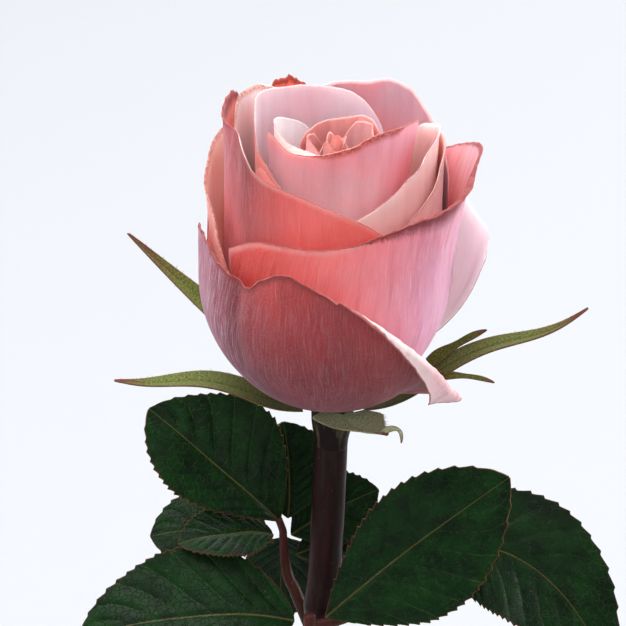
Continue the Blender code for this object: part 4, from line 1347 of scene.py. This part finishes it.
for number, (name, sepal) in enumerate(SEPALS.items()):
    add_strip(name + "_blade", name, sepal_surface(sepal, number + 1), SEPAL_THICK)
print("sepals made:", len(SEPALS))

# %% [markdown]
# ## Lobes and hairs
# A rose sepal often carries a narrow side lobe or two, and a curled thread at its tip.  Its margins are set with
# short hairs.  They are too fine for the solid model, so they are only made here, as tapering strips and cones.

# %% Side lobes and the curled tip
LOBES = {
    "sepal_right_upper_lobe": {"path": ((19, 2.0, 6.8), (24, 3.6, 10.6), (30.4, 4.4, 13.2)), "half": 1.25},
    "sepal_right_lower_lobe": {"path": ((20, -2.4, 6.0), (26, -4.6, 8.2), (31.6, -5.0, 6.2)), "half": 0.8},
    "sepal_front_tip": {"path": ((9.4, -14.6, 0.0), (13.6, -17.4, 4.0), (13.2, -15.6, -1.6)), "half": 0.55},
}
LOBE_THICK = 0.25


def lobe_surface(lobe, columns=10, rows=48):
    start, bend, tip = (np.array(p, float) for p in lobe["path"])
    grid = []
    for i in range(columns + 1):
        t = -1 + 2 * i / columns
        line = []
        for j in range(rows + 1):
            s = j / rows
            at = start * (1 - s) ** 2 + bend * 2 * s * (1 - s) + tip * s * s
            ahead = unit((bend - start) * 2 * (1 - s) + (tip - bend) * 2 * s)
            side = unit(np.cross(ahead, np.array([0.1, -0.7, 0.7])))
            half = lobe["half"] * (1 - s ** 2) ** 0.7 * (0.8 + 0.2 * math.sin(9 * s)) + 0.1
            line.append(at - side * half * t + np.array([0, 0, 0.25 * half * t * t]))
        grid.append(line)
    return np.array(grid)


for name, lobe in LOBES.items():
    add_strip(name, None, lobe_surface(lobe), LOBE_THICK, start=0.2)
print("lobes made:", len(LOBES))

# %% [markdown]
# ## The hairs
# Hairs could be grown as strands, but few are needed, and a three-sided cone for each is plain mesh that any
# other program can open.  Where they stand is drawn by lot from a fixed start, so they are the same every time.

# %% Hairs on the sepals' margins
HAIR_RADIUS = 0.07         # mm at its root
HAIR_LENGTH = (0.35, 0.75)  # mm that every hair has, and what the longest one adds
HAIR_STEP = 3              # points of the margin from one hair to the next
THIRDS = (0.0, 2.094, 4.189)  # radians, the three corners of a cone


def hair_cone(root, tip, radius=HAIR_RADIUS):
    ahead = unit(tip - root)
    side = unit(np.cross(ahead, np.array([0.2, 0.3, 1.0])))
    other = np.cross(ahead, side)
    ring = [root + radius * (side * math.cos(a) + other * math.sin(a)) for a in THIRDS]
    return ring + [tip]


def add_hairs():
    chance = np.random.default_rng(7)
    points, faces = [], []
    for number, (name, sepal) in enumerate(SEPALS.items()):
        grid = sepal_surface(sepal, number + 1)
        centre = grid[grid.shape[0] // 2]
        for edge in (grid[0], grid[-1]):
            for j in range(8, grid.shape[1] - 6, HAIR_STEP):
                j = min(grid.shape[1] - 2, j + int(chance.integers(0, 3)))
                away = unit(edge[j] - centre[j]) + 0.9 * unit(centre[j + 1] - centre[j])
                away = away + chance.normal(0, 0.25, 3)
                length = HAIR_LENGTH[0] + HAIR_LENGTH[1] * chance.random() ** 2
                first = len(points)
                points += hair_cone(edge[j], edge[j] + unit(away) * length)
                faces += [(first, first + 2, first + 1), (first, first + 1, first + 3),
                          (first + 1, first + 2, first + 3), (first + 2, first, first + 3)]
    piece = add_piece("sepal_hairs", None, points, faces, sepal_finish)
    count = len(points)
    store(piece, "place", points)
    for label, value in (("outer", 1.0), ("length", 0.85), ("edge", 0.3)):
        store(piece, label, np.full(count, value))
    return len(faces) // 4


print("hairs made:", add_hairs())

# %% [markdown]
# ## The floor
# The rose stands on a plain pale floor that reaches far past the view, so that no edge of it can show.  It is
# almost one colour, because a patterned floor would draw the eye from the petals.

# %% Floor
FLOOR_REACH = 4.0  # m from the middle to each side


def make_floor():
    mesh = bpy.data.meshes.new("floor")
    corners = [(x * FLOOR_REACH, y * FLOOR_REACH, 0) for x, y in ((-1, -1), (1, -1), (1, 1), (-1, 1))]
    mesh.from_pydata(corners, [], [(0, 1, 2, 3)])
    floor = bpy.data.objects.new("floor", mesh)
    bpy.context.scene.collection.objects.link(floor)
    m = Finish("studio_floor")
    grain = m.tree.nodes.new("ShaderNodeTexNoise")
    grain.inputs["Scale"].default_value = 3.0
    tone = m.remap(grain.outputs["Fac"], 0.3, 0.7)
    colour = m.blend(tone, paint(174, 176, 180), paint(177, 179, 183))
    m.shade("Base Color", colour)
    m.shade("Roughness", 0.9)
    mesh.materials.append(m.material)
    return floor


make_floor()
print("floor laid")

# %% [markdown]
# ## The light
# Soft studio light comes from large panels.  The one above and the one behind shine through the petals and make
# them glow, the two at the sides draw the outline, and a faintly warm one in front keeps the shadows open.
# Small lamps would be simpler, but their hard shadows would hide the folds.

# %% Lights
def panel(name, place, target, size, power, colour=(1, 1, 1)):
    """A rectangular lamp at a place in metres, turned towards its target, with its power in watts."""
    lamp = bpy.data.lights.new(name, "AREA")
    lamp.shape = "RECTANGLE"
    lamp.size, lamp.size_y = size
    lamp.energy = power
    lamp.color = colour
    holder = bpy.data.objects.new(name, lamp)
    holder.location = place
    toward = np.array(target) - np.array(place)
    holder.rotation_euler = Vector(toward).to_track_quat("-Z", "Y").to_euler()
    bpy.context.scene.collection.objects.link(holder)


panel("overhead", (-0.2, -0.1, 1.2), (0, 0.0, 0.15), (1.0, 1.0), 18.0)
panel("back_glow", (0.2, 1.5, 1.0), (0, 0.1, 0.2), (1.6, 1.0), 20.0)
panel("left_side", (-1.2, -0.3, 0.8), (0, 0, 0.2), (0.7, 0.9), 7.5)
panel("right_back", (1.2, 0.6, 0.5), (0, 0, 0.2), (0.7, 0.9), 14.0)
panel("front_fill", (0.4, -1.5, 1.0), (0, 0, 0.2), (1.2, 1.0), 6.5, (1.0, 0.96, 0.93))
world = bpy.data.worlds.new("studio")
bpy.context.scene.world = world
world.use_nodes = True
world.node_tree.nodes["Background"].inputs["Color"].default_value = (0.93, 0.96, 1.0, 1)
world.node_tree.nodes["Background"].inputs["Strength"].default_value = 0.42
bpy.context.scene.view_settings.view_transform = "Standard"
print("lights:", len(bpy.data.lights))

# %% [markdown]
# ## The camera
# A long lens from a little above shows the rolled bud inside the bloom and keeps the petals' sizes true.  A
# short lens close by would make the near petal look swollen.

# %% Camera
CAMERA_RISE = 25.0   # degrees above level
CAMERA_REACH = 0.7   # m
CAMERA_LENS = 206.0  # mm
aim = np.array([0.0021, 0.0, 0.1994])
lens = bpy.data.cameras.new("camera")
lens.lens = CAMERA_LENS
lens.sensor_width = 36.0
camera = bpy.data.objects.new("camera", lens)
rise = math.radians(CAMERA_RISE)
camera.location = aim + CAMERA_REACH * np.array([0, -math.cos(rise), math.sin(rise)])
camera.rotation_euler = (math.radians(90) - rise, 0, 0)
bpy.context.scene.collection.objects.link(camera)
bpy.context.scene.camera = camera
print("camera at", [round(v, 3) for v in camera.location])
